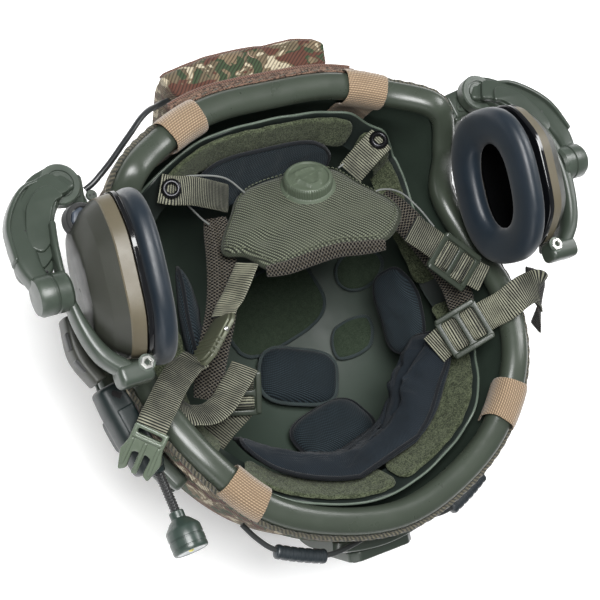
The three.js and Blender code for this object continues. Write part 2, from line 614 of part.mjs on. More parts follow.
// Grommets of the rear straps
const GROMMETS = [
  { name: 'grommet_left', centre: [-66.5, 76, 132], normal: [-0.35, -0.1, 1] },
  { name: 'grommet_right', centre: [68, 77, 131], normal: [-0.2, 0.1, 1] },
];
for (const { name, centre, normal } of GROMMETS) {
  const ring = new THREE.LatheGeometry([[2.6, 0], [5.4, 0], [5, 1.4], [3, 1.8], [2.6, 0]]
    .map(([r, h]) => new THREE.Vector2(r, h)), 10);
  ring.rotateX(Math.PI / 2);
  add(name, ring.applyMatrix4(stand(centre, [1, 0, 0], normal)), STEEL);
}

// Side rails outside the cover, the front shroud and the grips of its elastic cords
const RAILS = [
  { name: 'side_rail_right', from: -34, to: 33.5 },
  { name: 'side_rail_left', from: 214, to: 146.5 },
];
const RAIL = { drop: 36, top: 18, near: 3.8, far: 12 };
for (const { name, from, to } of RAILS) {
  add(name, bowlStrip({
    from, to, low: -RAIL.drop, high: -RAIL.top, near: RAIL.near, far: RAIL.far, columns: 10, rows: 1, fromEdge: true,
  }), PLASTIC);
}

// Front shroud: a curved foot with a flat plate for an accessory
const SHROUD = { bearing: -90, z: 86, face: 15, thick: 6, wide: 42, tall: 34, chamfer: 5 };
const shroudFoot = bowlStrip({ from: -104, to: -76, low: 62, high: 108, near: 3.6, far: 11, columns: 5, rows: 3 });
const shroudFace = onBowl(SHROUD.bearing, SHROUD.z, SHROUD.face);
const shroudNormal = shroudFace.clone().sub(onBowl(SHROUD.bearing, SHROUD.z, 0)).normalize();
const [plateX, plateY] = [SHROUD.wide / 2, SHROUD.tall / 2];
const plateCorner = SHROUD.chamfer;
const shroudPlate = new THREE.ExtrudeGeometry(new THREE.Shape([
  [-plateX, -plateY + plateCorner], [-plateX + plateCorner, -plateY], [plateX - plateCorner, -plateY],
  [plateX, -plateY + plateCorner], [plateX, plateY - plateCorner], [plateX - plateCorner, plateY],
  [-plateX + plateCorner, plateY], [-plateX, plateY - plateCorner],
].map((p) => new THREE.Vector2(...p))), { depth: SHROUD.thick, bevelEnabled: false });
shroudPlate.translate(0, 0, -SHROUD.thick);
shroudPlate.applyMatrix4(stand(shroudFace.toArray(), [1, 0, 0], shroudNormal.toArray()));
add('front_shroud', join(shroudFoot, shroudPlate), PLASTIC);

const GRIPS = [
  { name: 'bungee_grip_right', from: -73, to: -60 },
  { name: 'bungee_grip_left', from: -120, to: -107 },
];
const GRIP = { z: 112, off: 12.2, radius: 4 };
for (const { name, from, to } of GRIPS) {
  const route = [0, 0.5, 1].map((t) => onBowl(from + (to - from) * t, GRIP.z, GRIP.off).toArray());
  add(name, bar(route, [0, 0, 1], () => [GRIP.radius, GRIP.radius], 3, 8), SLATE);
}

// Helmet light on the left rail: body, bendy neck and head
const LIGHT_BODY = [[-137, -17, 133], [-132.5, -40, 133], [-127, -64, 131.5]];
const lightCase = bar(LIGHT_BODY, [0, 0, 1], () => [8, 9.5], 4, 8, 4);
const lightFoot = bar([[-131.5, -40, 126], [-131.5, -40, 104]], [1, 0.2, 0], () => [9, 2.6], 1, 8, 4);
add('light_body', join(lightCase, lightFoot), PLASTIC);
add('light_neck', cord([[-126.5, -65.6, 131.4], [-125.6, -77, 131.2], [-124.6, -88, 130.5]], 2.2, 4), STEEL);
add('light_head', bar(
  [[-124.5, -88.8, 130.3], [-123.5, -95, 128.5], [-122.5, -102, 126.5], [-121.5, -109.5, 124]],
  [0, 0, 1], (t) => [4.5 + 4.8 * Math.min(1, t * 2.2), 4.5 + 4.8 * Math.min(1, t * 2.2)], 4, 12), PLASTIC);

// Headset: two ear cups on sprung arms. Each cup has its own frame: n outward, u to the nape, v up
const CUP_SIZE = { halfLong: 44, halfTall: 35, deep: 25, cushion: 13, wall: 3, sides: 24, power: 2.5 };
const HINGE = { x: 132, y: 86.5, z: 147.6, radius: 11 };
const SIDES = [
  { name: 'right', sign: 1, x: 118, y: 27, z: 163, tilt: 6, toe: -1, roll: 11 },
  { name: 'left', sign: -1, x: 118, y: 27, z: 166, tilt: 9, toe: 3, roll: 10 },
];
for (const { name, sign, x, y, z, tilt, toe, roll } of SIDES) {
  const n = vec(sign * Math.cos(tilt * RAD) * Math.cos(toe * RAD), Math.sin(toe * RAD) * Math.cos(tilt * RAD), -Math.sin(tilt * RAD));
  const u0 = vec(0, 1, 0).addScaledVector(n, -n.y).normalize();
  const v0 = n.clone().cross(u0).multiplyScalar(sign);
  const u = u0.clone().multiplyScalar(Math.cos(roll * RAD)).addScaledVector(v0, Math.sin(roll * RAD));
  const v = v0.clone().multiplyScalar(Math.cos(roll * RAD)).addScaledVector(u0, -Math.sin(roll * RAD));
  const centre = vec(sign * x, y, z);
  const ring = (out, inLong, inTall) => oval(
    centre.clone().addScaledVector(n, out), u, v, CUP_SIZE.halfLong - inLong, CUP_SIZE.halfTall - inTall,
    CUP_SIZE.sides, CUP_SIZE.power);

  add(`cup_shell_${name}`, loft([
    ring(CUP_SIZE.deep - CUP_SIZE.wall, 20, 17), ring(12, 7, 7), ring(3.3, 4.5, 4.5), ring(3.3, 1, 1), ring(10, 1, 1),
    ring(18, 6, 5), ring(CUP_SIZE.deep, 15, 13),
  ]), CUP);
  add(`cup_bezel_${name}`, loft([ring(0, 0, 0), ring(3, 0, 0), ring(3, 6, 6), ring(0, 6, 6)], true), GLOSS);
  const thick = -CUP_SIZE.cushion;
  add(`ear_cushion_${name}`, loft([
    ring(-GAP, 2, 2), ring(thick * 0.35, -0.5, -0.5), ring(thick * 0.75, 1.5, 1.5), ring(thick, 8, 8), ring(thick * 0.8, 17, 15),
    ring(-GAP, 20, 17),
  ], true), RUBBER);

  // Arm: a hinge cap, an arch outside the cup, a round knuckle and a yoke to both ends of the cup
  const at = (px, py, pz) => [sign * px, py, pz];
  const cap = bar([[sign * HINGE.x, HINGE.y, 144.2], [sign * HINGE.x, HINGE.y, 151.5]], [0, 1, 0], () => [HINGE.radius, HINGE.radius], 1, 12);
  const arch = bar([at(133, 86, 148), at(149, 83, 151), at(162, 66, 158), at(165, 47, 164), at(162, 31, 168)],
    [0, 0, 1], (t) => [4.5 + 2.5 * Math.sin(Math.PI * t), 3 + 3.5 * t], 7, 6, 2.6);
  const knuckle = bar([at(151, 29, 170), at(168, 29, 170)], [0, 0, 1], () => [10, 10], 1, 12);
  const yoke = bar([at(133, 79.5, 162), at(142, 70, 165), at(150, 52, 167), at(153, 30, 169), at(151, 8, 169), at(144, -10, 169), at(135, -19.5, 169)],
    [0, 0, 1], () => [2.2, 5], 10, 6, 2.6);
  const frontBlock = bar([at(124, -22, 169), at(142, -22, 169)], [0, 0, 1], () => [5.2, 7], 1, 8, 4);
  const rearBlock = bar([at(124, 80.5, 161), at(140, 80.5, 161)], [0, 0, 1], () => [3.4, 6], 1, 8, 4);
  add(`headset_arm_${name}`, join(cap, arch, knuckle, yoke, frontBlock, rearBlock), PLASTIC);

  // Bracket that carries the hinge, screwed to the rear end of the side rail
  const bracket = join(
    bar([at(117.5, 84, 137.5), at(133, 86.5, 139.5)], [0, 0, 1], () => [8.5, 4.2], 1, 8, 4),
    bar([at(119.5, 76, 122), at(119.5, 83, 138)], [1, 0, 0], () => [8, 3], 1, 8, 4));
  add(`arm_bracket_${name}`, bracket, PLASTIC);
}

export default helmet;
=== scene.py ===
"""A tactical helmet lying on its crown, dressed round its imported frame. Shapes are worked out in
millimetres."""
import json

import bmesh
import bpy
import numpy as np
from mathutils import Matrix
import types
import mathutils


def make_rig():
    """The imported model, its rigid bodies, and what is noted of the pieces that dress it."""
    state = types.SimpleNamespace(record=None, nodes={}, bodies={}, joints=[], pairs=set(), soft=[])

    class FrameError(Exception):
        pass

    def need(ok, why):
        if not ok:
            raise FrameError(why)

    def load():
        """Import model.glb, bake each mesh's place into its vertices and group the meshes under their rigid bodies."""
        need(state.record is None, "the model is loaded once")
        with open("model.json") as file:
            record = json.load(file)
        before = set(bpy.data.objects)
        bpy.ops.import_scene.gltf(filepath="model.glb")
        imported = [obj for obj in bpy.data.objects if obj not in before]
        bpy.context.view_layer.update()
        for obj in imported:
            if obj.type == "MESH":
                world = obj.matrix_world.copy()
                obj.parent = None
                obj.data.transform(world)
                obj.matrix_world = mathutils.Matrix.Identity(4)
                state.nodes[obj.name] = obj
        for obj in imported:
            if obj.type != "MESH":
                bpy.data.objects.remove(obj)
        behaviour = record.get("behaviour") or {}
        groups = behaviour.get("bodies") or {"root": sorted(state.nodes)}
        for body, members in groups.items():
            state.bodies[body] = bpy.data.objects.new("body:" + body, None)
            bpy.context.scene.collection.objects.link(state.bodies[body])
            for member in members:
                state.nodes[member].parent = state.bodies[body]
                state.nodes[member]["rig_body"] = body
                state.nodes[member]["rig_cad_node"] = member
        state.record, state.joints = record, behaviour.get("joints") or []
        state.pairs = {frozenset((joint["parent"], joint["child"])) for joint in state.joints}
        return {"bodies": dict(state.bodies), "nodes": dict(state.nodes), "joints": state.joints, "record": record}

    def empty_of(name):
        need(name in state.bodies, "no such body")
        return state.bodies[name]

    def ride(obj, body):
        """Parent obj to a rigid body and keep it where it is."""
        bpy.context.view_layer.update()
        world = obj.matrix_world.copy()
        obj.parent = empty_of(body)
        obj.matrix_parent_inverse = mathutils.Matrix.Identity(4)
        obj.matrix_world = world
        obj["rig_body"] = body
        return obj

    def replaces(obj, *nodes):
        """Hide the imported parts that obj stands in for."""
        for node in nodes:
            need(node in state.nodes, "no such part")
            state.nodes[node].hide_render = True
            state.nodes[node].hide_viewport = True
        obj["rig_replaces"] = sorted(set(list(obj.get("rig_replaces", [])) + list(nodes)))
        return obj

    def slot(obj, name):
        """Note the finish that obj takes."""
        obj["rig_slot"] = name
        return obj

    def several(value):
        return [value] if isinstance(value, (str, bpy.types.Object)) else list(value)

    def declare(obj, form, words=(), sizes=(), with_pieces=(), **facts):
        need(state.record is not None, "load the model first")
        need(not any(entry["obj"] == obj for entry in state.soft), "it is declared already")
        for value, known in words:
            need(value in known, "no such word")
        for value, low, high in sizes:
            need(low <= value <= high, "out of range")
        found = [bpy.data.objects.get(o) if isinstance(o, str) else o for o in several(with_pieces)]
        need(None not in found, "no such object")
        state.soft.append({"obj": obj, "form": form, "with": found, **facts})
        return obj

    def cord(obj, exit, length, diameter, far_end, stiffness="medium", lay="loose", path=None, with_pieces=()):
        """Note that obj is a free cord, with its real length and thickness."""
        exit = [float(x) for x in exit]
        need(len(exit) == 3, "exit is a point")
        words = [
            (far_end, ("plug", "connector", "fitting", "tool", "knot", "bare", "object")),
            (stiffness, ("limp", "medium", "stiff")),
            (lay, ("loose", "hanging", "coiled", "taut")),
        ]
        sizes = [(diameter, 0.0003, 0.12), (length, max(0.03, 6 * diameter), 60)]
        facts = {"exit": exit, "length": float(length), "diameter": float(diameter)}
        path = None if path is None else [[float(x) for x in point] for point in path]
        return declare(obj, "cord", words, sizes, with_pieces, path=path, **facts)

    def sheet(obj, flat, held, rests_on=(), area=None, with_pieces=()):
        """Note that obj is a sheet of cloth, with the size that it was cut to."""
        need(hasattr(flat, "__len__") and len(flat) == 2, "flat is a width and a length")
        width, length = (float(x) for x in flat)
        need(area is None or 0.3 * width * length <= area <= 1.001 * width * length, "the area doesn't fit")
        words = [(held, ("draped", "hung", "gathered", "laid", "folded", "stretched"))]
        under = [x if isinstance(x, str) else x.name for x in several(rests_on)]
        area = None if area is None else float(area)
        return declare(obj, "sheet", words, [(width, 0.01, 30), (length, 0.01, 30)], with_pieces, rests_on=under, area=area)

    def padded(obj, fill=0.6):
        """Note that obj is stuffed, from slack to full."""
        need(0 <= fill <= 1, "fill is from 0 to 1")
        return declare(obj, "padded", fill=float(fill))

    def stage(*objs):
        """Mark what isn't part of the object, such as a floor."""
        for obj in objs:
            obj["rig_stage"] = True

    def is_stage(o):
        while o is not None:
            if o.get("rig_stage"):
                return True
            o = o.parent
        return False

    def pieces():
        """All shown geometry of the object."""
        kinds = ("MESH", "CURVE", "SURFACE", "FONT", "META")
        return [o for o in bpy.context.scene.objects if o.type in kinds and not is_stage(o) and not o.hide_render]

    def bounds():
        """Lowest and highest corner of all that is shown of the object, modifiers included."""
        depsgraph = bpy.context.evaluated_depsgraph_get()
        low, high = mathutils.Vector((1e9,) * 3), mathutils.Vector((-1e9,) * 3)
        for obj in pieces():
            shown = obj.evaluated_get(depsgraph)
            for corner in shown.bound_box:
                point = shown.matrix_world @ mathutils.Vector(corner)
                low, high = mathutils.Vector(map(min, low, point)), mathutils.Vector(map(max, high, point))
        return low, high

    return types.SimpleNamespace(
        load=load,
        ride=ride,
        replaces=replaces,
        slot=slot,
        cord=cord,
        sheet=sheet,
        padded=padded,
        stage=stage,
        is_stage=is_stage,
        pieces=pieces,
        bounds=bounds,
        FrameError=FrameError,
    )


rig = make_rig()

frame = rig.load()
cad_box = [list(corner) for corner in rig.bounds()]

# Camera, floor and studio light.
# The eye looks down into the open helmet from its left front, turned so that the forehead is at the bottom.
# A pale floor carries it, under one large soft light, a smaller one from the other side and a white room.
MM = 0.001
VIEW = {"azimuth": -75, "elevation": 62.1, "roll": 57.4, "lens": 83.88, "distance": 755,
        "aim": (-19.5, -2, 140)}
LIGHTS = [
    {"name": "key", "place": (-330, 120, 1300), "size": 0.6, "power": 25},
    {"name": "side", "place": (850, 250, 800), "size": 0.4, "power": 6},
    {"name": "front", "place": (-700, -600, 500), "size": 0.5, "power": 2},
]
ROOM_TONE = (0.93, 0.97, 1.0, 1)
ROOM_STRENGTH = 0.27
FLOOR_TONE = (0.9, 0.9, 0.9, 1)


def axes_of_view(azimuth, elevation, roll):
    """Right, up and back of a camera: back points from the aim to the eye, and the frame is turned about
    it."""
    a, e, r = np.radians([azimuth, elevation, roll])
    back = np.array([np.sin(a) * np.cos(e), -np.cos(a) * np.cos(e), np.sin(e)])
    level = np.array([np.cos(a), np.sin(a), 0])
    upright = np.cross(back, level)
    return level * np.cos(r) + upright * np.sin(r), upright * np.cos(r) - level * np.sin(r), back


def stood(place, x, y, z):
    """The matrix that puts three axes at a place, in metres."""
    turned = Matrix.Identity(4)
    for column, axis in enumerate((x, y, z, np.array(place) * MM)):
        turned.col[column][:3] = [float(value) for value in axis]
    return turned


view_right, view_up, view_back = axes_of_view(VIEW["azimuth"], VIEW["elevation"], VIEW["roll"])
eye = bpy.data.objects.new("camera", bpy.data.cameras.new("camera"))
eye.data.lens = VIEW["lens"]
eye.matrix_world = stood(np.array(VIEW["aim"]) + view_back * VIEW["distance"], view_right, view_up, view_back)
bpy.context.collection.objects.link(eye)
bpy.context.scene.camera = eye

for light in LIGHTS:
    lamp = bpy.data.lights.new(light["name"], "AREA")
    lamp.energy = light["power"]
    lamp.size = light["size"]
    holder = bpy.data.objects.new(light["name"], lamp)
    away = np.array(light["place"], float) - VIEW["aim"]
    back = away / np.linalg.norm(away)
    side = np.cross((0, 0, 1), back)
    side /= np.linalg.norm(side)
    holder.matrix_world = stood(light["place"], side, np.cross(back, side), back)
    bpy.context.collection.objects.link(holder)

room = bpy.data.worlds.new("room")
room.use_nodes = True
room.node_tree.nodes["Background"].inputs["Color"].default_value = ROOM_TONE
room.node_tree.nodes["Background"].inputs["Strength"].default_value = ROOM_STRENGTH
bpy.context.scene.world = room
bpy.context.scene.view_settings.view_transform = "Standard"

floor_mesh = bpy.data.meshes.new("floor")
floor_mesh.from_pydata([(-6, -6, 0), (6, -6, 0), (6, 6, 0), (-6, 6, 0)], [], [(0, 1, 2, 3)])
floor = bpy.data.objects.new("floor", floor_mesh)
bpy.context.collection.objects.link(floor)
floor_look = bpy.data.materials.new("floor")
floor_look.use_nodes = True
floor_look.node_tree.nodes["Principled BSDF"].inputs["Base Color"].default_value = FLOOR_TONE
floor_look.node_tree.nodes["Principled BSDF"].inputs["Roughness"].default_value = 0.9
floor_look.node_tree.nodes["Principled BSDF"].inputs["Emission Color"].default_value = FLOOR_TONE
floor_look.node_tree.nodes["Principled BSDF"].inputs["Emission Strength"].default_value = 0.3
floor_mesh.materials.append(floor_look)
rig.stage(floor)

# Headset lead, from the rear pouch over the nape to the left arm's bracket, and the panel's laces.
# The lead is a black rubber jacket 3.3 mm thick, held at both ends; the laces are thin grey elastic cords,
# knotted under the nape panel and drawn tight to the liner.
LEAD = {"radius": 1.65, "steps": 90}
LEAD_ROUTE = [
    (-47, 126, 128), (-53, 124.5, 131), (-60, 122, 134), (-66.5, 119.5, 138), (-74, 115, 141.5),
    (-82, 108.5, 143.5), (-90.5, 101.5, 143.5),
    (-99, 94.5, 143), (-106.5, 89, 142), (-111, 86, 140.5), (-115.6, 84, 138.5),
]
LACE = {"radius": 0.55, "steps": 60}
LACES = {
    "lace_left_rear": [(-14, 70.5, 108), (-24, 78, 114.5), (-33, 80.2, 120), (-45, 82.5, 122),
                       (-58, 84, 122.5)],
    "lace_left_front": [(-41, 57.5, 107), (-46, 61, 111), (-52, 65.5, 117), (-58, 70, 122.5),
                        (-64, 73, 126.5)],
    "lace_right_rear": [(44, 69.5, 117.5), (53, 73, 120), (63, 77.5, 121.5), (72, 80, 121)],
    "lace_right_front": [(50, 46, 121), (62, 50, 122.5), (75, 46, 122), (84, 34, 121.5), (90, 21, 121)],
}


class Look:
    """One finish: its material, and short calls that each add a node and give back its output."""

    def __init__(self, name, roughness, metallic=0.0, **sockets):
        self.material = bpy.data.materials.new(name)
        self.material.use_nodes = True
        self.tree = self.material.node_tree
        self.shader = self.tree.nodes["Principled BSDF"]
        for socket, value in {"Roughness": roughness, "Metallic": metallic, **sockets}.items():
            self.shader.inputs[socket.replace("_", " ")].default_value = value

    def node(self, kind, inputs, output=0, **settings):
        """A node of this kind, its inputs set to a value or wired to another node's output."""
        made = self.tree.nodes.new("ShaderNode" + kind)
        for key, value in settings.items():
            setattr(made, key, value)
        for key, value in inputs.items():
            if isinstance(value, bpy.types.NodeSocket):
                self.tree.links.new(value, made.inputs[key])
            else:
                made.inputs[key].default_value = value
        return made.outputs[output]

    def math(self, operation, a, b=0.0, c=0.0):
        return self.node("Math", {0: a, 1: b, 2: c}, operation=operation)

    def space(self, stretch=(1, 1, 1)):
        """Places in the piece's own frame, in millimetres."""
        scale = [1000 * share for share in stretch]
        return self.node("VectorMath", {0: self.node("TexCoord", {}, "Object"), 1: scale},
                         operation="MULTIPLY")

    def cloth(self):
        """Places on the piece's own surface, in millimetres along and across."""
        return self.node("UVMap", {}, uv_map="run")

    def axis(self, where, index):
        return self.node("SeparateXYZ", {0: where}, index)

    def noise(self, where, size, detail=2.0, distortion=0.0):
        sockets = {"Vector": where, "Scale": 1 / size, "Detail": detail, "Distortion": distortion}
        return self.node("TexNoise", sockets, "Fac")

    def cells(self, where, size, randomness=1.0, feature="F1"):
        sockets = {"Vector": where, "Scale": 1 / size, "Randomness": randomness}
        return self.node("TexVoronoi", sockets, "Distance", feature=feature)

    def wave(self, value, pitch):
        """A ridge every pitch, from 0 to 1."""
        return self.math("MULTIPLY_ADD", self.math("SINE", self.math("MULTIPLY", value, 2 * np.pi / pitch)),
                         0.5, 0.5)

    def step(self, value, low, high, out_low=0.0, out_high=1.0):
        sockets = {"Value": value, 1: low, 2: high, 3: out_low, 4: out_high}
        return self.node("MapRange", sockets, interpolation_type="SMOOTHSTEP")

    def mix(self, share, first, second):
        return self.node("Mix", {0: share, 6: first, 7: second}, 2, data_type="RGBA")

    def colour(self, value):
        self.tree.links.new(value, self.shader.inputs["Base Color"])

    def rough(self, value, low, high):
        self.tree.links.new(self.step(value, 0, 1, low, high), self.shader.inputs["Roughness"])

    def bump(self, height, depth):
        """Relief whose full height is this many millimetres."""
        relief = self.node("Bump", {"Height": height, "Distance": depth * MM, "Strength": 1.0})
        self.tree.links.new(relief, self.shader.inputs["Normal"])


def tone(red, green, blue):
    """A display colour, 0 to 1, as the linear one that a shader takes."""
    return tuple(((value + 0.055) / 1.055) ** 2.4 for value in (red, green, blue)) + (1.0,)


def rubber_look(name, colour, roughness, grain):
    """Smooth rubber or leather-like skin: cloudy tone, faint wrinkles."""
    look = Look(name, roughness, Sheen_Weight=0.15)
    cloud = look.noise(look.space(), 18)
    look.colour(look.mix(cloud, tone(*[0.82 * c for c in colour]), tone(*[min(1, 1.14 * c) for c in colour])))
    look.rough(look.noise(look.space(), 6), roughness - 0.07, roughness + 0.1)
    look.bump(look.noise(look.space(), 0.9, 4), grain)
    return look


def unit(vectors):
    return vectors / np.maximum(np.linalg.norm(vectors, axis=-1, keepdims=True), 1e-9)


def route_through(points, count, closed=False):
    """Evenly spaced places on a centripetal Catmull-Rom curve: a cubic between each two points, with
    knots spaced by the square root of the distance from point to point."""
    p = np.array(points, float)
    if closed:
        p = np.vstack([p[-1:], p, p[:2]])
    else:
        p = np.vstack([2 * p[:1] - p[1:2], p, 2 * p[-1:] - p[-2:-1]])
    a, b, c, d = p[:-3], p[1:-2], p[2:-1], p[3:]
    ab, bc, cd = [np.sqrt(np.linalg.norm(q - o, axis=1))[:, None] for o, q in ((a, b), (b, c), (c, d))]
    start = bc * ((b - a) / ab - (c - a) / (ab + bc) + (c - b) / bc)
    end = bc * ((c - b) / bc - (d - b) / (bc + cd) + (d - c) / cd)
    t = np.linspace(0, 1, 24, endpoint=False)[None, :, None]
    hold, leave = 2 * t**3 - 3 * t**2 + 1, t**3 - 2 * t**2 + t
    arrive = t**3 - t**2
    dense = hold * b[:, None] + (1 - hold) * c[:, None] + leave * start[:, None] + arrive * end[:, None]
    dense = np.vstack([dense.reshape(-1, dense.shape[-1]), c[-1:]])
    run = np.concatenate([[0], np.cumsum(np.linalg.norm(np.diff(dense, axis=0), axis=1))])
    at = np.linspace(0, run[-1], count, endpoint=not closed)
    return np.stack([np.interp(at, run, column) for column in dense.T], 1)


def directions(route, face, closed=False):
    """Across and lift at each place of a route: across lies square to the route and to the way its flat
    side faces."""
    ahead = np.roll(route, -1, 0) - np.roll(route, 1, 0) if closed else np.gradient(route, axis=0)
    across = unit(np.cross(ahead, np.broadcast_to(face, route.shape)))
    return across, unit(np.cross(across, ahead))


def rounded(power, count):
    """A ring of places on a superellipse one unit in radius: 2 is round, more is squarer."""
    turn = (np.arange(count) + 0.5) / count * 2 * np.pi
    ring = np.stack([np.cos(turn), np.sin(turn)], 1)
    return np.sign(ring) * np.abs(ring) ** (2 / power)


def carried(route, across, lift, profile):
    """Rings of a profile, the same or one for each place, carried along a route."""
    profile = np.broadcast_to(profile, (len(route),) + profile.shape[-2:])
    return route[:, None] + across[:, None] * profile[..., :1] + lift[:, None] * profile[..., 1:]


def put(name, grid, look, slot, nodes=(), body="root", around=True, loop=False, run=None, crease=38):
    """A piece from a grid of places, or several grids of one size. Its rows join side to side, its
    columns close round unless told otherwise, flat faces close the ends of a tube, and its UV is
    millimetres along and across."""
    grid = np.asarray(grid, float)
    many = grid if grid.ndim == 4 else grid[None]
    copies, rows, columns = many.shape[:3]
    i, j = np.meshgrid(np.arange(rows - (not loop)), np.arange(columns - (not around)), indexing="ij")
    i = (i[..., None] + [0, 1, 1, 0]).reshape(-1, 4)
    j = (j[..., None] + [0, 0, 1, 1]).reshape(-1, 4)
    one = (i % rows) * columns + j % columns
    if run is None:
        steps = [np.linalg.norm(np.roll(many[0], -1, k) - many[0], axis=2).mean(1 - k) for k in (0, 1)]
        along, across = [np.concatenate([[0], np.cumsum(step)]) for step in steps]
        run = np.stack(np.broadcast_arrays(along[:, None], across), -1)
    uv = run[i % len(run), j % run.shape[1]].reshape(-1, 2)
    faces, cap_uv = [], []
    for copy in range(copies):
        shift = copy * rows * columns
        faces += (one + shift).tolist()
        cap_uv.append(uv)
        if around and not loop:
            ends = np.arange(columns) + shift
            faces += [ends[::-1].tolist(), (ends + (rows - 1) * columns).tolist()]
            cap_uv += [run[0, :columns], run[0, :columns]]
    mesh = bpy.data.meshes.new(name)
    mesh.from_pydata((many.reshape(-1, 3) * MM).tolist(), [], faces)
    mesh.uv_layers.new(name="run").data.foreach_set("uv", np.concatenate(cap_uv).astype(np.float32).ravel())
    form = bmesh.new()
    form.from_mesh(mesh)
    bmesh.ops.remove_doubles(form, verts=form.verts, dist=2e-6)
    bmesh.ops.recalc_face_normals(form, faces=form.faces)
    form.to_mesh(mesh)
    form.free()
    mesh.shade_smooth()
    mesh.set_sharp_from_angle(angle=np.radians(crease))
    return placed(name, mesh, look, slot, nodes, body)


def placed(name, mesh, look, slot, nodes, body):
    """A mesh as a piece: its finish, the body it rides on, and the plain solids that it stands for."""
    mesh.materials.append(look.material)
    piece = bpy.data.objects.new(name, mesh)
    bpy.context.collection.objects.link(piece)
    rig.ride(piece, body)
    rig.slot(piece, slot)
    if nodes:
        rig.replaces(piece, *nodes)
    return piece


def cord_piece(name, points, radius, steps, look, slot, nodes=(), sides=16):
    """A round cord: a circle carried along a smooth route."""
    route = route_through(points, steps)
    across, lift = directions(route, (0.1, 0.2, 1))
    rings = carried(route, across, lift, rounded(2, sides) * radius)
    return put(name, rings, look, slot, nodes), route * MM


lead_look = rubber_look("lead_rubber", (0.075, 0.09, 0.10), 0.34, 0.05)
cord_piece("headset_lead_cord", LEAD_ROUTE, LEAD["radius"], LEAD["steps"], lead_look, "lead_rubber",
           ["headset_lead"])
lace_look = rubber_look("lace", (0.42, 0.43, 0.42), 0.6, 0.1)
for name, points in LACES.items():
    lace, path = cord_piece(name, points, LACE["radius"], LACE["steps"], lace_look, "webbing", sides=8)
    length = float(np.linalg.norm(np.diff(path, axis=0), axis=1).sum())
    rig.cord(lace, exit=path[0], length=length, diameter=2 * LACE["radius"] * MM, far_end="object",
            stiffness="limp", lay="taut", path=path)

# Shell: moulded fibre composite 8 mm thick, painted satin green inside and out.
# Its wall is a superellipse up to the ears and straight above, and its crown is pressed flat where it lies.
GAP = 0.3
WALL = 8
COVER = 1.8
CROWN = {"y": -4, "pressed": 0.9, "equator": 119, "roundness": 2.2, "first_row": 6.1}
FLAT = COVER + GAP
LOWEST = FLAT - CROWN["pressed"]
TRIM = {"width": 15, "height": 13, "power": 2.4, "sides": 40}
EDGE_DROP = TRIM["height"] / 2 + 3 * GAP
EDGE = np.array([
    (0, -128, 133), (39, -120, 132.5), (74, -101, 134), (99.5, -68, 138), (113, -28, 130), (112, 11.5, 115.5),
    (107, 42, 115.5), (104, 62, 137.5), (96, 81, 156.5), (70, 98, 150.5), (39, 109, 149), (0, 111, 148.5),
], float)
edge_line = route_through(np.vstack([EDGE, EDGE[-2:0:-1] * (-1, 1, 1)]), 1440, closed=True)
edge_bearings = np.degrees(np.arctan2(edge_line[:, 1] - CROWN["y"], edge_line[:, 0]))
edge_order = np.argsort(edge_bearings)
edge_reach = np.hypot(edge_line[:, 0], edge_line[:, 1] - CROWN["y"])


def edge_at(bearing):
    """Reach from the crown's axis and height of the rolled edge's middle at a bearing."""
    known = edge_bearings[edge_order]
    return [np.interp(bearing, known, column[edge_order], period=360)
            for column in (edge_reach, edge_line[:, 2])]


def swell(z):
    """Share of the full reach at a height: a superellipse up to the equator, then straight."""
    rise = np.clip((z - LOWEST) / CROWN["equator"], 0, 1)
    return (1 - (1 - rise) ** CROWN["roundness"]) ** (1 / CROWN["roundness"])


def bowl_skin(bearing, z):
    reach = (edge_at(bearing)[0] + WALL / 2) * swell(z)
    turn = np.radians(bearing)
    return np.stack([np.cos(turn) * reach, CROWN["y"] + np.sin(turn) * reach, z + 0 * reach], -1)


def on_bowl(bearing, z, off):
    """A place on the outer skin at a bearing and height, moved off it along its normal."""
    bearing, z, off = np.broadcast_arrays(*[np.asarray(value, float) for value in (bearing, z, off)])
    along = bowl_skin(bearing + 1.5, z) - bowl_skin(bearing - 1.5, z)
    up = bowl_skin(bearing, z + 0.4) - bowl_skin(bearing, z - 0.4)
    return bowl_skin(bearing, z) + unit(np.cross(along, up)) * off[..., None]


def satin_look(name, colour, roughness=0.42, wear=0.5, grain=0.03, metallic=0.0):
    """Satin paint or moulded plastic: cloudy tone, a fine grain, and lighter rubbed edges."""
    look = Look(name, roughness, metallic)
    cloud = look.noise(look.space(), 26, 4)
    body = look.mix(cloud, tone(*[0.9 * c for c in colour]), tone(*[min(1, 1.08 * c) for c in colour]))
    rub = look.step(look.node("NewGeometry", {}, "Pointiness"), 0.53, 0.62)
    patchy = look.math("MULTIPLY", rub, look.step(look.noise(look.space(), 5, 5), 0.4, 0.62, 0.15, wear))
    look.colour(look.mix(patchy, body, tone(*[min(1, 1.45 * c + 0.08) for c in colour])))
    look.rough(look.noise(look.space(), 9, 6), roughness - 0.08, roughness + 0.1)
    look.bump(look.noise(look.space(), 0.55, 3), grain)
    return look


def bowl_layer(name, rows, near, far, look, slot, nodes, columns=200):
    """A wall round the crown between two distances off the skin: up its outside from the crown and down
    its inside. Each row gives a height, and how much further off it stands, for every bearing."""
    bearings = edge_bearings[:: 1440 // columns]
    heights, extras = [np.stack([row(bearings)[k] for row in rows], 1) for k in (0, 1)]
    sides = []
    for off in (far, near):
        layer = on_bowl(bearings[:, None], heights, off + extras)
        layer[..., 2] = np.maximum(layer[..., 2], FLAT - off)
        pole = np.broadcast_to((0.0, CROWN["y"], FLAT - off), (len(bearings), 1, 3))
        sides.append(np.concatenate([pole, layer], 1))
    grid = np.concatenate([sides[0], sides[1][:, ::-1]], 1)
    return put(name, grid, look, slot, nodes, around=False, loop=True)


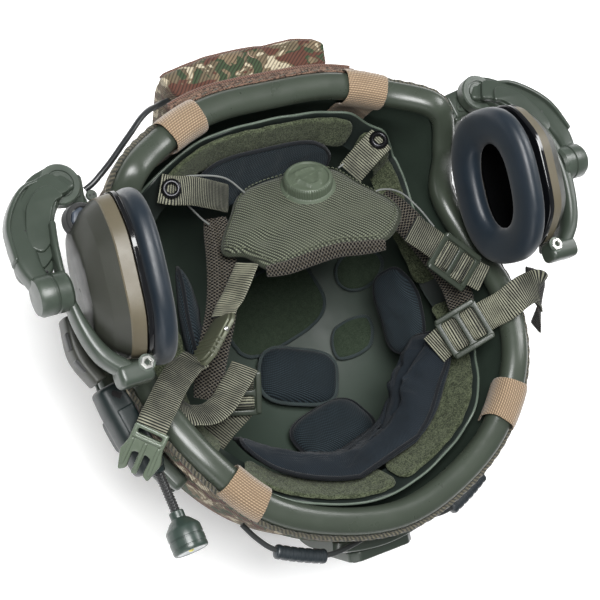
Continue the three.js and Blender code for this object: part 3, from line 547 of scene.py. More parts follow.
def bowl_rows(count):
    def row(share):
        turn = np.radians(CROWN["first_row"] + (90 - CROWN["first_row"]) * share)
        return lambda b: (LOWEST + (edge_at(b)[1] - EDGE_DROP - LOWEST) * (1 - np.cos(turn)), 0 * b)
    return [row(share) for share in np.linspace(0, 1, count)]


shell_look = satin_look("shell_paint", (0.19, 0.23, 0.20), 0.5, 0.2)
shell_look.shader.inputs["Specular IOR Level"].default_value = 0.3
bowl_layer("shell_wall", bowl_rows(44), -WALL, 0, shell_look, "shell_paint", ["shell"])

# Rolled edge: a thick extruded trim, satin olive, that wraps the shell's rim all round.
rim_look = satin_look("rim_paint", (0.21, 0.235, 0.20), 0.3, 0.45)
rim_out = directions(edge_line[::4], (0, 0, 1), closed=True)[0]
rim_profile = rounded(TRIM["power"], TRIM["sides"]) * (TRIM["width"] / 2, TRIM["height"] / 2)
put("rim_roll", carried(edge_line[::4], rim_out, np.broadcast_to((0, 0, 1.0), rim_out.shape), rim_profile),
    rim_look, "rim_paint", ["rim_trim"], loop=True)

# Cover: printed twill stretched over the shell, its hem standing up outside the rolled edge.
# A twisted cord, light with painted shade between its strands, is sewn along the hem.
HEM = {"root": 17, "low": 9, "out": 3.6, "top": 1}
PIPING = {"radius": 1.25, "lobes": 3, "lay": 7.2, "steps": 720}
COVER_FLAT = (0.40, 0.44)
COVER_AREA = 0.127


def ripple(a, b, size, seed):
    """Gentle folds from about -1 to 1: the sum of six sine waves of drawn direction, length and phase."""
    draw = np.random.default_rng(seed)
    turn, phase, length = draw.uniform(0, 2 * np.pi, (2, 6)).tolist() + [size * draw.uniform(0.7, 1.6, 6)]
    return sum(np.sin((a * np.cos(t) + b * np.sin(t)) * 2 * np.pi / l + p)
               for t, p, l in zip(turn, phase, length)) / 4


def camouflage_look(name):
    """Printed twill: four tones in soft blotches of three sizes, over fine slanting ribs."""
    look = Look(name, 0.88, Sheen_Weight=0.1, Specular_IOR_Level=0.2)
    where = look.space((1, 1, 1.5))
    tones = [tone(0.45, 0.39, 0.31), tone(0.21, 0.26, 0.18), tone(0.33, 0.21, 0.17), tone(0.68, 0.64, 0.55)]
    fields = [look.noise(where, 21, 2, 0.6), look.noise(look.space((1.3, 1.3, 0.8)), 15, 2, 0.9),
              look.noise(look.space((0.7, 1.2, 1.7)), 12, 2, 0.7), look.noise(where, 5, 2)]
    colour = look.mix(look.step(fields[0], 0.44, 0.60), tones[0], tone(0.37, 0.33, 0.26))
    colour = look.mix(look.step(fields[1], 0.535, 0.55), colour, tones[1])
    colour = look.mix(look.step(fields[2], 0.545, 0.56), colour, tones[2])
    colour = look.mix(look.math("MULTIPLY", look.step(fields[1], 0.43, 0.415),
                                look.step(fields[2], 0.49, 0.475)),
                      colour, tones[3])
    run = look.cloth()
    rib = look.wave(look.math("ADD", look.axis(run, 0), look.axis(run, 1)), 2.3)
    thread = look.wave(look.math("SUBTRACT", look.axis(run, 0), look.axis(run, 1)), 1.0)
    relief = look.math("MULTIPLY_ADD", thread, 0.35, rib)
    shade = look.math("MULTIPLY", look.step(relief, 0.1, 0.9, 0.8, 0.0),
                      look.step(fields[3], 0.3, 0.7, 0.7, 1))
    look.colour(look.mix(shade, colour, tone(0.11, 0.09, 0.07)))
    look.bump(relief, 0.22)
    return look


camo_look = camouflage_look("camouflage_twill")
hem_rows = [
    lambda b: (edge_at(b)[1] - HEM["root"], 0 * b + GAP),
    lambda b: (edge_at(b)[1] - (HEM["root"] + HEM["low"]) / 2, 0 * b + HEM["out"] * 0.62),
    lambda b: (edge_at(b)[1] - HEM["low"], HEM["out"] + 0.35 * ripple(b, 0 * b, 14, 3)),
    lambda b: (edge_at(b)[1] - (HEM["low"] + HEM["top"]) / 2, HEM["out"] + 0.45 * ripple(b, 0 * b, 9, 4)),
    lambda b: (edge_at(b)[1] - HEM["top"], HEM["out"] + 0.3 * ripple(b, 0 * b, 14, 5)),
]
under_hem = [lambda b, row=row: (np.minimum(row(b)[0], edge_at(b)[1] - HEM["root"] - 2), row(b)[1])
             for row in bowl_rows(44)[:-1]]
cover = bowl_layer("cover_cloth", under_hem + hem_rows, GAP, GAP + COVER, camo_look, "cover_cloth", ["cover"],
                   240)
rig.sheet(cover, flat=COVER_FLAT, held="stretched", rests_on=["shell_wall"], area=COVER_AREA)

hem_bearings = edge_bearings[:: 1440 // PIPING["steps"]]
hem_off = HEM["out"] + GAP + COVER / 2
hem_line = on_bowl(hem_bearings, edge_at(hem_bearings)[1] - HEM["top"] + 0.9, hem_off)
hem_across, hem_lift = directions(hem_line, (0, 0, 1), closed=True)
hem_run = np.linspace(0, np.linalg.norm(np.roll(hem_line, -1, 0) - hem_line, axis=1).sum(), PIPING["steps"])
cord_turns = np.round(hem_run[-1] / PIPING["lay"] / PIPING["lobes"]) * PIPING["lobes"]
cord_turns = cord_turns / hem_run[-1] / PIPING["lobes"]
around_cord = np.linspace(0, 2 * np.pi, 14, endpoint=False)
lobe = 1 + 0.2 * np.cos(PIPING["lobes"] * (around_cord - hem_run[:, None] * cord_turns * 2 * np.pi))
rope = np.stack([np.cos(around_cord) * lobe, np.sin(around_cord) * lobe], -1) * PIPING["radius"]


def twisted_look(name, light, dark, pitch):
    """Twisted cord: light strands with painted shade in the valleys between them, by the slant of the surface's own
    run.
    """
    look = Look(name, 0.85, Sheen_Weight=0.2)
    run = look.cloth()
    strand = look.wave(look.math("ADD", look.axis(run, 0), look.math("MULTIPLY", look.axis(run, 1), 0.55)),
                       pitch)
    fibre = look.noise(look.space(), 0.7, 3)
    # The dark in the valleys between the strands is painted shade.
    look.colour(look.mix(look.math("MULTIPLY", strand, look.step(fibre, 0.3, 0.6, 0.5, 1)), dark, light))
    look.bump(fibre, 0.15)
    return look


piping_look = twisted_look("hem_cord", tone(0.36, 0.34, 0.28), tone(0.10, 0.11, 0.09), PIPING["lay"] / 3)
put("cover_hem_cord", carried(hem_line, hem_across, hem_lift, rope), piping_look, "cover_cloth", loop=True)

# Tabs: woven tan elastic 25 mm wide, sewn to the cover, folded over the rolled edge and fastened inside.
TAB = {"width": 25, "thick": 1.2, "steps": 64, "columns": 26}
TAB_PATH = [(-5.4, -9.5), (-8, -4), (-8, 2.5), (-5.2, 6.4), (0, 7.2), (5.2, 6.4), (7.9, 3.4), (8.6, 0.4)]
TABS = {
    "cover_tab_rear_right": (61.9, -30), "cover_tab_rear_left": (118.1, -30),
    "cover_tab_front_right": (-45.6, -11), "cover_tab_front_left": (-134.4, -11),
}


def elastic_look(name):
    """Woven elastic: brick-like floats in rows across the band, with soft long ribs, and painted shade between the
    floats.
    """
    look = Look(name, 0.8, Sheen_Weight=0.3)
    run = look.cloth()
    rows = look.wave(look.axis(run, 0), 1.25)
    floats = look.wave(look.math("ADD", look.axis(run, 1), look.math("MULTIPLY", look.axis(run, 0), 0.5)),
                       1.7)
    relief = look.math("MULTIPLY", rows, look.math("MULTIPLY_ADD", floats, 0.6, 0.4))
    worn = look.noise(look.space(), 9, 4)
    # The dark between the floats is painted shade.
    colour = look.mix(relief, tone(0.36, 0.29, 0.215), tone(0.67, 0.575, 0.46))
    look.colour(look.mix(look.step(worn, 0.45, 0.75, 0, 0.45), colour, tone(0.45, 0.37, 0.28)))
    look.bump(relief, 0.3)
    return look


def band_profile(width, thick, columns, power=6):
    """A flat band's section: a superellipse, drawn so that its places lie evenly across both faces."""
    across = np.sin(np.linspace(-np.pi / 2, np.pi / 2, columns))
    depth = (1 - np.abs(across) ** power) ** (1 / 2) * thick / 2
    upper = np.stack([across * width / 2, depth], 1)
    return np.concatenate([upper, upper[-2:0:-1] * (1, -1)])


elastic = elastic_look("tab_elastic")
for name, (bearing, leg) in TABS.items():
    path = route_through([(-5.4, leg), *TAB_PATH], TAB["steps"])
    slope = unit(np.gradient(path, axis=0))
    section = band_profile(TAB["width"], TAB["thick"], TAB["columns"])
    pinch = 1 - 0.05 * np.exp(-(((path[:, 1] - 7) / 4) ** 2))
    spread = section[None, :, 0] * pinch[:, None]
    reach = edge_at(bearing)[0]
    at = bearing + np.degrees(spread / reach)
    foot_reach, foot_z = edge_at(at)
    turn = np.radians(at)
    foot = np.stack([np.cos(turn) * foot_reach, CROWN["y"] + np.sin(turn) * foot_reach, foot_z], -1)
    ahead_reach = edge_at(at + 0.6)[0]
    back_reach = edge_at(at - 0.6)[0]
    ahead = np.stack([np.cos(turn + 0.0105) * ahead_reach - np.cos(turn - 0.0105) * back_reach,
                      np.sin(turn + 0.0105) * ahead_reach - np.sin(turn - 0.0105) * back_reach], -1)
    out = unit(np.stack([ahead[..., 1], -ahead[..., 0]], -1))
    lift = GAP + TAB["thick"] / 2 + section[None, :, 1]
    outward = path[:, :1] - slope[:, 1:] * lift
    upward = path[:, 1:] + slope[:, :1] * lift
    grid = foot + np.concatenate([out * outward[..., None], upward[..., None]], -1)
    tab = put(name + "_elastic", grid, elastic, "tab_elastic", [name])
    tab_long = float(np.linalg.norm(np.diff(path, axis=0), axis=1).sum())
    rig.sheet(tab, flat=(TAB["width"] * MM, tab_long * MM), held="stretched", rests_on=["rim_roll"])

# Rear pouch: a padded twill pocket for a counterweight and the headset's electronics, sewn on at the nape.
# It sags a little, its top slopes up to a piped seam beside the rolled edge, and a painted eyelet drains it.
POUCH = {"from": 70, "to": 112.6, "low": 58, "high": 137, "near": 7.6, "far": 29, "rise": 8, "lift": 8,
         "tuck": 6, "rows": 110, "ring": 160}
LOOP_STRIP = {"from": 64, "to": 117, "near": 3.9, "far": 8.9, "thick": 1.6, "above": 1.4, "below": -2.4}
EYELET = {"place": (3.2, 138.6, 140.6), "normal": (0.05, 0.3, 1), "hole": 2.0, "rim": 3.9}


def felt_look(name, light, dark, size=0.6, depth=0.5):
    """Brushed loop felt: fine light fibres over a darker ground, in faint clouds."""
    look = Look(name, 0.95, Sheen_Weight=0.08, Sheen_Roughness=0.5, Specular_IOR_Level=0.1)
    fibre = look.noise(look.space(), size, 4, 0.7)
    tuft = look.noise(look.space(), size * 5, 3)
    blend = look.math("MULTIPLY_ADD", tuft, 0.22, look.math("MULTIPLY", fibre, 0.78))
    look.colour(look.mix(look.step(blend, 0.38, 0.64), tone(*dark), tone(*light)))
    look.bump(fibre, depth)
    return look


def turned(name, profile, place, normal, look, slot, nodes=(), body="root", sides=48, crease=38):
    """A turned part: a profile of radii and heights spun round its axis and stood at a place."""
    profile = np.array(profile, float)
    axis = unit(np.array(normal, float))
    first = unit(np.cross(axis, (0.31, 0.17, 0.9) if abs(axis[2]) < 0.9 else (0, 1, 0)))
    second = np.cross(axis, first)
    turn = np.arange(sides) / sides * 2 * np.pi
    ring = np.cos(turn)[:, None] * first + np.sin(turn)[:, None] * second
    grid = ring[:, None] * profile[None, :, :1] + axis * profile[None, :, 1:] + np.array(place, float)
    return put(name, grid, look, slot, nodes, body, around=profile[0, 0] > 0, loop=True, crease=crease)


pouch_share = np.linspace(0, 1, POUCH["rows"])[:, None]
pouch_ring = rounded(9, POUCH["ring"])
pouch_depth = np.clip(0.5 - 0.5 * pouch_ring[None, :, 0], 0, 1)
pouch_bearing = POUCH["from"] + (POUCH["to"] - POUCH["from"] - POUCH["tuck"] * pouch_depth) * pouch_share
ends = np.abs(np.linspace(-1, 1, POUCH["rows"]))[:, None]
full = (1 - ends**20) ** 0.25 * 0.97 + 0.03
pouch_mid, pouch_half = (POUCH["low"] + POUCH["high"]) / 2, (POUCH["high"] - POUCH["low"]) / 2
outness = 0.5 + 0.5 * pouch_ring[None, :, 1] * full
pouch_z = pouch_mid + pouch_half * pouch_ring[None, :, 0] * (0.93 + 0.07 * full)
taper = 1 - 0.25 * (1 - (pouch_z - POUCH["low"]) / (2 * pouch_half))
pouch_up = np.clip(pouch_ring[None, :, 0], 0, 1)
pouch_run = pouch_bearing * 2.2
pouch_z = pouch_z + POUCH["rise"] * pouch_up**8 * (1 - outness)
pouch_z = pouch_z + POUCH["lift"] * (1 - pouch_share) ** 1.2 * pouch_up**2 * outness
folds = ripple(pouch_run, pouch_z, 30, 11) * 0.9 + ripple(pouch_run, pouch_z, 11, 12) * 0.25
pouch_off = POUCH["near"] + (POUCH["far"] - POUCH["near"]) * taper * outness + folds * outness
pouch_z = pouch_z + 0.9 * ripple(pouch_run, pouch_off, 16, 13) * pouch_up**4
pouch = put("rear_pouch_twill", on_bowl(pouch_bearing, pouch_z, pouch_off), camo_look, "cover_cloth",
            ["rear_pouch"])
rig.padded(pouch, fill=0.5)
piping_at = int(np.argmax(pouch_ring[:, 0] + pouch_ring[:, 1]))
pouch_piping = on_bowl(pouch_bearing[:, piping_at], pouch_z[:, piping_at], pouch_off[:, piping_at] + 0.3)

strip_look = felt_look("speckled_loop", (0.50, 0.40, 0.34), (0.12, 0.09, 0.075), 1.0, 0.6)
strip_bearing = np.linspace(LOOP_STRIP["from"], LOOP_STRIP["to"], 160)
strip_section = band_profile(1, 1, 20)
strip_share = 0.5 + strip_section[:, 0]
strip_rise = strip_section[:, 1] * LOOP_STRIP["thick"] + LOOP_STRIP["above"]
strip_rise = strip_rise + (LOOP_STRIP["below"] - LOOP_STRIP["above"]) * strip_share
strip_off = LOOP_STRIP["near"] + (LOOP_STRIP["far"] - LOOP_STRIP["near"]) * strip_share
put("rear_loop_strip", on_bowl(strip_bearing[:, None], edge_at(strip_bearing)[1][:, None] + strip_rise,
                               strip_off),
    strip_look, "cover_cloth")
seam_bearing = np.linspace(POUCH["from"] - 5, POUCH["to"] + 4, 60)
seam = on_bowl(seam_bearing, edge_at(seam_bearing)[1] + LOOP_STRIP["below"], LOOP_STRIP["far"] + 0.6)
seam_look = twisted_look("seam_cord", tone(0.46, 0.34, 0.28), tone(0.22, 0.14, 0.115), 1.4)
cord_piece("rear_seam_cord", seam, 0.95, 400, seam_look, "cover_cloth", sides=12)
cord_piece("rear_pouch_piping", pouch_piping[2:-2:3], 0.8, 400, seam_look, "cover_cloth", sides=12)
eyelet_look = satin_look("eyelet_paint", (0.60, 0.49, 0.44), 0.35, 0.6, metallic=0.3)
turned("pouch_eyelet", [(EYELET["hole"], -0.6), (EYELET["rim"], -0.6), (EYELET["rim"], 0.2), (3.2, 1.0),
                        (2.4, 0.8)],
       EYELET["place"], EYELET["normal"], eyelet_look, "cover_cloth")
# A near-black disc in the eyelet stands for its hole: painted shade.
hole_shade_look = rubber_look("painted_hole_shade", (0.05, 0.04, 0.04), 0.9, 0.01)
turned("pouch_eyelet_hole", [(0, -0.6), (2.3, -0.6), (2.3, 0.1), (0, 0.1)], EYELET["place"], EYELET["normal"],
       hole_shade_look, "cover_cloth")

# Liner: a thin sprung plastic frame that stands inside the shell and leans in, with a waved top edge.
# Felt bands are glued to its inner face, for the pads to grip.
LINER = {"thick": 1.5, "inset": 6, "clear": 3 * GAP, "bead": 0.75}
LINER_SHAPE = np.array([
    (-90, 119, 11, 20), (-45, 121, 10, 20), (-25, 110, 8, 18), (0, 96, 8, 18), (20, 97, 8, 18),
    (38, 104, 8, 18),
    (52, 128, 10, 20), (65, 137, 8, 22), (90, 138, 8, 22), (115, 137, 8, 22), (128, 128, 14, 20),
    (142, 104, 19, 14),
    (160, 97, 22, 12), (180, 96, 22, 12), (205, 110, 10, 16), (225, 121, 12, 20), (270, 119, 11, 20),
], float)
FELT = 2.8
BAND_TOP = 1.5
FELT_BANDS = {
    "felt_band_rear": (60, 127), "felt_band_right": (0, 56.5), "felt_band_left": (141, 216),
    "felt_band_front_left": (-135, -82.5), "felt_band_front_right": (-81, -9),
}


def liner_at(bearing):
    """Top height, lean and fall of the liner at a bearing: eased between the rows of its table."""
    wrapped = (np.asarray(bearing, float) + 90) % 360 - 90
    high = np.clip(np.searchsorted(LINER_SHAPE[:, 0], wrapped), 1, len(LINER_SHAPE) - 1)
    a, b = LINER_SHAPE[high - 1], LINER_SHAPE[high]
    share = (wrapped - a[..., 0]) / (b[..., 0] - a[..., 0])
    ease = (share * share * (3 - 2 * share))[..., None]
    return np.moveaxis((a + (b - a) * ease)[..., 1:], -1, 0)


def liner_off(bearing, z):
    """How far inside the outer skin the liner's outer face stands at a height."""
    top, lean, fall = liner_at(bearing)
    return -WALL - LINER["inset"] - lean * np.clip((top - z) / fall, 0, 1)


def felt_off(bearing, z):
    return liner_off(bearing, z) - LINER["thick"] - LINER["clear"]


liner_bearing = np.linspace(-90, 270, 360, endpoint=False)[:, None]
top, lean, fall = liner_at(liner_bearing)
wave_edge = 0.8 * np.sin(np.radians(liner_bearing) * 13) + 0.5 * np.sin(np.radians(liner_bearing) * 29 + 1)
liner_look = satin_look("liner_plastic", (0.105, 0.13, 0.12), 0.42, 0.3)
share = np.array([0, 0.25, 0.5, 0.75, 1, 1, 0.75, 0.5, 0.25, 0])[None]
outer = np.array([1, 1, 1, 1, 1, 0, 0, 0, 0, 0])[None]
liner_z = top + wave_edge * share - fall * (1 - share)
liner_grid = on_bowl(liner_bearing, liner_z, liner_off(liner_bearing, liner_z) - LINER["thick"] * (1 - outer))
put("liner_wall", liner_grid, liner_look, "liner_plastic", ["liner_frame"], loop=True)
bead_line = on_bowl(liner_bearing[:, 0], (top + wave_edge)[:, 0] + 0.2,
                    -WALL - LINER["inset"] - LINER["thick"] / 2)
bead_across, bead_lift = directions(bead_line, (0, 0, 1), closed=True)
bead_look = satin_look("liner_edge", (0.33, 0.37, 0.33), 0.36, 0.3)
put("liner_edge_bead", carried(bead_line, bead_across, bead_lift, rounded(2, 10) * LINER["bead"]), bead_look,
    "liner_plastic", loop=True)

band_look = felt_look("felt_band", (0.325, 0.35, 0.27), (0.16, 0.18, 0.13), 0.8, 0.7)
for name, (start, end) in FELT_BANDS.items():
    bearing = np.linspace(start, end, int((end - start) * 2.2))[:, None]
    section = rounded(6, 56)[None]
    top, lean, fall = liner_at(bearing)
    reach = edge_at((start + end) / 2)[0] * 0.8
    in_from_end = np.minimum(bearing - start, end - bearing) * np.pi / 180 * reach
    corner = np.sqrt(np.clip(1 - np.clip(1 - in_from_end / 6, 0, 1) ** 2, 0.02, 1))
    half = (fall - BAND_TOP) / 2
    middle = top - BAND_TOP - half
    z = middle + half * section[..., 0] * (0.35 + 0.65 * corner)
    z = z + 0.5 * ripple(bearing * 1.8, 0 * bearing, 12, 21)
    fuzz = 0.14 * ripple(bearing * 1.8, z, 2.6, 22) + 0.25 * ripple(bearing * 1.8, z, 13, 23)
    depth = FELT * (0.5 - 0.5 * section[..., 1] * corner)
    grid = on_bowl(bearing, z, felt_off(bearing, z) - depth + fuzz * (section[..., 1] < 0))
    node = "felt_band_front" if "front" in name else name
    felt = put(name + "_felt", grid, band_look, "felt", [node])
    arc = float(np.radians(end - start) * edge_at((start + end) / 2)[0] * 0.85)
    tall = float(np.hypot(2 * half, lean * 2 * half / fall).mean())
    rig.sheet(felt, flat=(tall * MM, arc * MM), held="laid", rests_on=["liner_wall"])

# Pads: foam slabs in navy spacer cloth, bound at the edge, that hang on the felt and lie on the crown.
# Each bulges between its edges; the rear one is gathered, the front one has a seam at its middle.
WALL_PADS = {
    "rear_pad": {"from": 63, "to": 117, "low": 72, "high": 116, "thick": 16, "top": 4,
                 "gathers": (84, 96, 74), "fold": 1.5, "lip": 8},
    "temple_pad_left": {"from": 153, "to": 189, "low": 44, "high": 80, "thick": 12, "top": 12, "gathers": (),
                        "fold": 0.5},
    "temple_pad_right": {"from": -27, "to": 9, "low": 44, "high": 82, "thick": 12, "top": 12, "gathers": (),
                         "fold": 0.5},
    "front_pad": {"from": -140, "to": -22, "low": 68, "high": 112, "thick": 13, "top": 13, "gathers": (-97,),
                  "fold": 1.1, "leaf": (-78, -46, 1.1), "roll": 95},
}
PAD_TAPER = 30
PAD_GATHER = {"deep": 3.2, "wide": 2.2}
PAD_ROLL = {"deep": 4.5, "wide": 2.6}
FLOOR_PADS = {
    "crown_pad_rear": {"x": 24, "y": -35, "half": (27, 20), "turn": -24, "low": 1.7, "high": 17,
                       "power": 3.4},
    "crown_pad_front": {"x": 27, "y": -79, "half": (27, 17), "turn": 12, "low": 1.7, "high": 17,
                        "power": 3.2},
    "felt_patch_crown": {"x": 24, "y": 16, "half": (36, 25), "turn": 14, "low": 1.4, "high": 4.2,
                         "power": 3.4},
    "felt_patch_round": {"x": 84, "y": 21, "half": (12, 12), "turn": 0, "low": 1.4, "high": 4.2, "power": 2},
    "felt_patch_side": {"x": 69, "y": -20, "half": (16, 12), "turn": 40, "low": 1.4, "high": 4.2,
                        "power": 1.5},
}


def bowl_floor(x, y, off):
    """A place off the bowl's skin over a plan point."""
    bearing = np.degrees(np.arctan2(y - CROWN["y"], x))
    share = np.minimum(0.999, np.hypot(x, y - CROWN["y"]) / (edge_at(bearing)[0] + WALL / 2))
    roundness = CROWN["roundness"]
    z = CROWN["equator"] * (1 - (1 - share**roundness) ** (1 / roundness)) + LOWEST
    leaned = on_bowl(bearing, z, off) - bowl_skin(bearing, z)
    leaned[share < 0.06] = np.array([0, 0, 1.0]) * -np.broadcast_to(off, share.shape)[share < 0.06][:, None]
    return leaned + np.stack([x, y, z], -1)


def knit_look(name, light, dark, pitch=1.5, sheen=0.35):
    """Close diagonal knit: rows of small loops that lean across the cloth, with painted shade between the loops."""
    look = Look(name, 0.82, Sheen_Weight=sheen, Sheen_Roughness=0.4, Specular_IOR_Level=0.15)
    run = look.cloth()
    along, across = look.axis(run, 0), look.axis(run, 1)
    row = look.wave(look.math("ADD", look.math("MULTIPLY", along, 0.8), across), pitch)
    stitch = look.wave(look.math("SUBTRACT", along, look.math("MULTIPLY", across, 0.35)), pitch * 0.8)
    relief = look.math("MULTIPLY", row, look.math("MULTIPLY_ADD", stitch, 0.5, 0.5))
    cloud = look.noise(look.space(), 14, 3)
    # The dark between the loops is painted shade.
    colour = look.mix(relief, tone(*dark), tone(*light))
    look.colour(look.mix(look.step(cloud, 0.35, 0.7, 0, 0.5), colour, tone(*[0.6 * c for c in light])))
    look.bump(relief, 0.25)
    return look


def pad_piece(name, outline, low, high, place, flat, look, slot, nodes, relief=None, fullness=3.0, rings=20):
    """A padded form: its outline shrinks in rings to the middle of both faces, which swell from the edge as
    the square root of one less a power of the share of the way out."""
    centre = outline.mean(0)
    share = np.sin(np.linspace(0, np.pi / 2, rings))[None]
    spread = centre + (outline[:, None] - centre) * share[..., None]
    swollen = np.sqrt(np.clip(1 - share**fullness, 0, 1))
    middle = low + 0.42 * (high - low)
    face = middle + (high - middle) * swollen
    if relief is not None:
        face = face + relief(spread[..., 0], spread[..., 1]) * swollen
    under = middle - (middle - low) * swollen
    face, under = np.broadcast_arrays(face, under + 0 * face)
    top_side, back_side = [place(spread[..., 0], spread[..., 1], height) for height in (face, under)]
    grid = np.concatenate([top_side, back_side[:, -2::-1]], 1)
    on_cloth = flat(spread[..., 0], spread[..., 1])
    on_cloth = np.concatenate([on_cloth, on_cloth[:, -2::-1]], 1)
    piece = put(name, grid, look, slot, nodes, around=False, loop=True, run=on_cloth)
    return piece, top_side[:, -1]


def bound(name, line, radius, look, slot):
    """Binding tape round an edge, as a flattened cord."""
    across, lift = directions(line, (0, 0, 1), closed=True)
    return put(name, carried(line, across, lift, rounded(2.6, 12) * radius), look, slot, loop=True)


navy = knit_look("navy_spacer_cloth", (0.205, 0.25, 0.275), (0.035, 0.05, 0.06), 1.6, 0.06)
smooth_navy = knit_look("navy_tricot", (0.13, 0.165, 0.195), (0.075, 0.095, 0.115), 0.8, 0.08)
binding = knit_look("binding_tape", (0.12, 0.135, 0.155), (0.05, 0.06, 0.07), 0.9, 0.1)
for name, pad in WALL_PADS.items():
    middle_bearing, middle_z = (pad["from"] + pad["to"]) / 2, (pad["low"] + pad["high"]) / 2
    half_bearing, half_z = (pad["to"] - pad["from"]) / 2, (pad["high"] - pad["low"]) / 2
    squareness = 3.2 if half_bearing < 30 else 5.5
    outline = rounded(squareness, 180) * (half_bearing, half_z) + (middle_bearing, middle_z)
    outline[:, 1] += pad.get("lip", 0) * np.clip((outline[:, 1] - middle_z) / half_z, 0, 1)
    reach = np.pi / 180 * edge_at(middle_bearing)[0] * 0.75

    def fuller(bearing, pad=pad):
        start, end, extra = pad.get("leaf", (0, 1, 0))
        along = np.clip((bearing - start) / (end - start), 0, 1)
        return extra * along * along * (3 - 2 * along)

    def on_wall(bearing, z, height, pad=pad, fuller=fuller):
        fall = np.clip((pad["high"] - z) / PAD_TAPER, 0, 1)
        depth = (pad["top"] + (pad["thick"] - pad["top"]) * fall) / pad["thick"]
        depth = depth * (1 + fuller(bearing))
        return on_bowl(bearing, z, felt_off(bearing, z) - FELT - LINER["clear"] - height * depth)

    def gathered(bearing, z, pad=pad, reach=reach, fuller=fuller):
        rough = pad["fold"] * ripple(bearing * reach, z, 17, 31)
        rough = rough + 0.35 * pad["fold"] * ripple(bearing * reach, z, 6, 32)
        for at in pad["gathers"]:
            crease = np.exp(-(((bearing - at) * reach / PAD_GATHER["wide"]) ** 2))
            rough = rough - PAD_GATHER["deep"] * crease * (0.6 + 0.4 * np.sin(z / 9))
        groove = np.exp(-(((z - pad.get("roll", 0)) / PAD_ROLL["wide"]) ** 2))
        rough = rough - PAD_ROLL["deep"] * fuller(bearing) * groove
        return rough

    look = smooth_navy if name == "front_pad" else navy
    piece, edge = pad_piece(name + "_cloth", outline, 0.2, pad["thick"], on_wall,
                            lambda b, z, reach=reach: np.stack([b * reach, z], -1), look, "pad_cloth", [name],
                            gathered)
    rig.padded(piece, fill=0.65)
    bound(name + "_binding", edge, 1.1, binding, "pad_cloth")

grey_tape = knit_look("grey_tape", (0.29, 0.33, 0.33), (0.15, 0.18, 0.18), 1.0, 0.1)
dark_felt = felt_look("dark_felt", (0.215, 0.255, 0.205), (0.155, 0.19, 0.15), 0.5, 0.25)
for name, pad in FLOOR_PADS.items():
    turn = np.radians(pad["turn"])
    u, v = np.array([np.cos(turn), np.sin(turn)]), np.array([-np.sin(turn), np.cos(turn)])
    ring = rounded(pad["power"], 140) * pad["half"]
    outline = ring[:, :1] * u + ring[:, 1:] * v + (pad["x"], pad["y"])
    thick_pad = "pad" in name

    def on_floor(x, y, height):
        return bowl_floor(x, y, -WALL - height)

    piece, edge = pad_piece(
        name + ("_cloth" if thick_pad else "_felt"), outline, pad["low"], pad["high"], on_floor,
        lambda x, y: np.stack([x, y], -1), navy if thick_pad else dark_felt,
        "pad_cloth" if thick_pad else "felt",
        [name], lambda x, y: 0.5 * ripple(x, y, 15, 33), fullness=3.4 if thick_pad else 10)
    if thick_pad:
        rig.padded(piece, fill=0.8)
    bound(name + "_binding", edge, 1.5 if thick_pad else 1.2,
          grey_tape if name != "crown_pad_front" else binding, "pad_cloth")

# Nape panel: a foam pad under coarse woven nylon that carries the fit dial. It is stitched all round near its
# edge, and a strip of spacer mesh is sewn along its lower side.
PANEL = {"centre": (18.4, 59.3, 120), "normal": (-0.157, 0.575, 0.815), "thick": 7, "stitch": 0.955}
PANEL_OUTLINE = [
    (-30, 21), (-46, 6), (-63, -18), (-54, -25), (-46, -42), (-29, -42), (-8, -43), (17, -52), (30, -46),
    (39, -34), (30, -5), (22, 14),
]
PANEL_DIMPLE = {"a": -40, "b": -22, "radius": 5, "deep": 1.8}
MESH_STRIP = [(-50, -40), (-38, -43), (-24, -43.5), (-8, -45), (4, -49.5), (17, -54)]
DIAL = {"a": 2.2, "b": 3.8, "teeth": 60, "depth": 0.45}

panel_n = unit(np.array(PANEL["normal"]))
panel_x = unit(np.array([1, 0, 0]) - panel_n[0] * panel_n)
panel_y = np.cross(panel_n, panel_x)


def on_panel(a, b, height):
    """A place on the nape panel: across it, along it and above its face."""
    across, along = a[..., None] * panel_x, b[..., None] * panel_y
    return np.array(PANEL["centre"]) + across + along + height[..., None] * panel_n


def canvas_look(name, light, dark, pitch=2.0):
    """Coarse woven nylon: slanting floats, each a short ridge, with painted shade in the valleys between them."""
    look = Look(name, 0.75, Sheen_Weight=0.1, Specular_IOR_Level=0.2)
    run = look.cloth()
    along, across = look.axis(run, 0), look.axis(run, 1)
    first = look.wave(look.math("ADD", along, look.math("MULTIPLY", across, 0.55)), pitch)
    second = look.wave(look.math("SUBTRACT", across, look.math("MULTIPLY", along, 0.35)), pitch * 0.62)
    relief = look.math("MULTIPLY", first, look.math("MULTIPLY_ADD", second, 0.7, 0.3))
    cloud = look.noise(look.space(), 11, 4)
    # The dark in the valleys between the floats is painted shade.
    colour = look.mix(look.step(relief, 0.02, 0.8), tone(*dark), tone(*light))
    look.colour(look.mix(look.step(cloud, 0.35, 0.7, 0, 0.4), colour, tone(*[0.7 * c for c in light])))
    look.bump(relief, 0.35)
    return look


def panel_relief(a, b):
    dimple = np.exp(-((a - PANEL_DIMPLE["a"]) ** 2
                      + (b - PANEL_DIMPLE["b"]) ** 2) / PANEL_DIMPLE["radius"] ** 2)
    return 0.35 * ripple(a, b, 16, 41) - PANEL_DIMPLE["deep"] * dimple


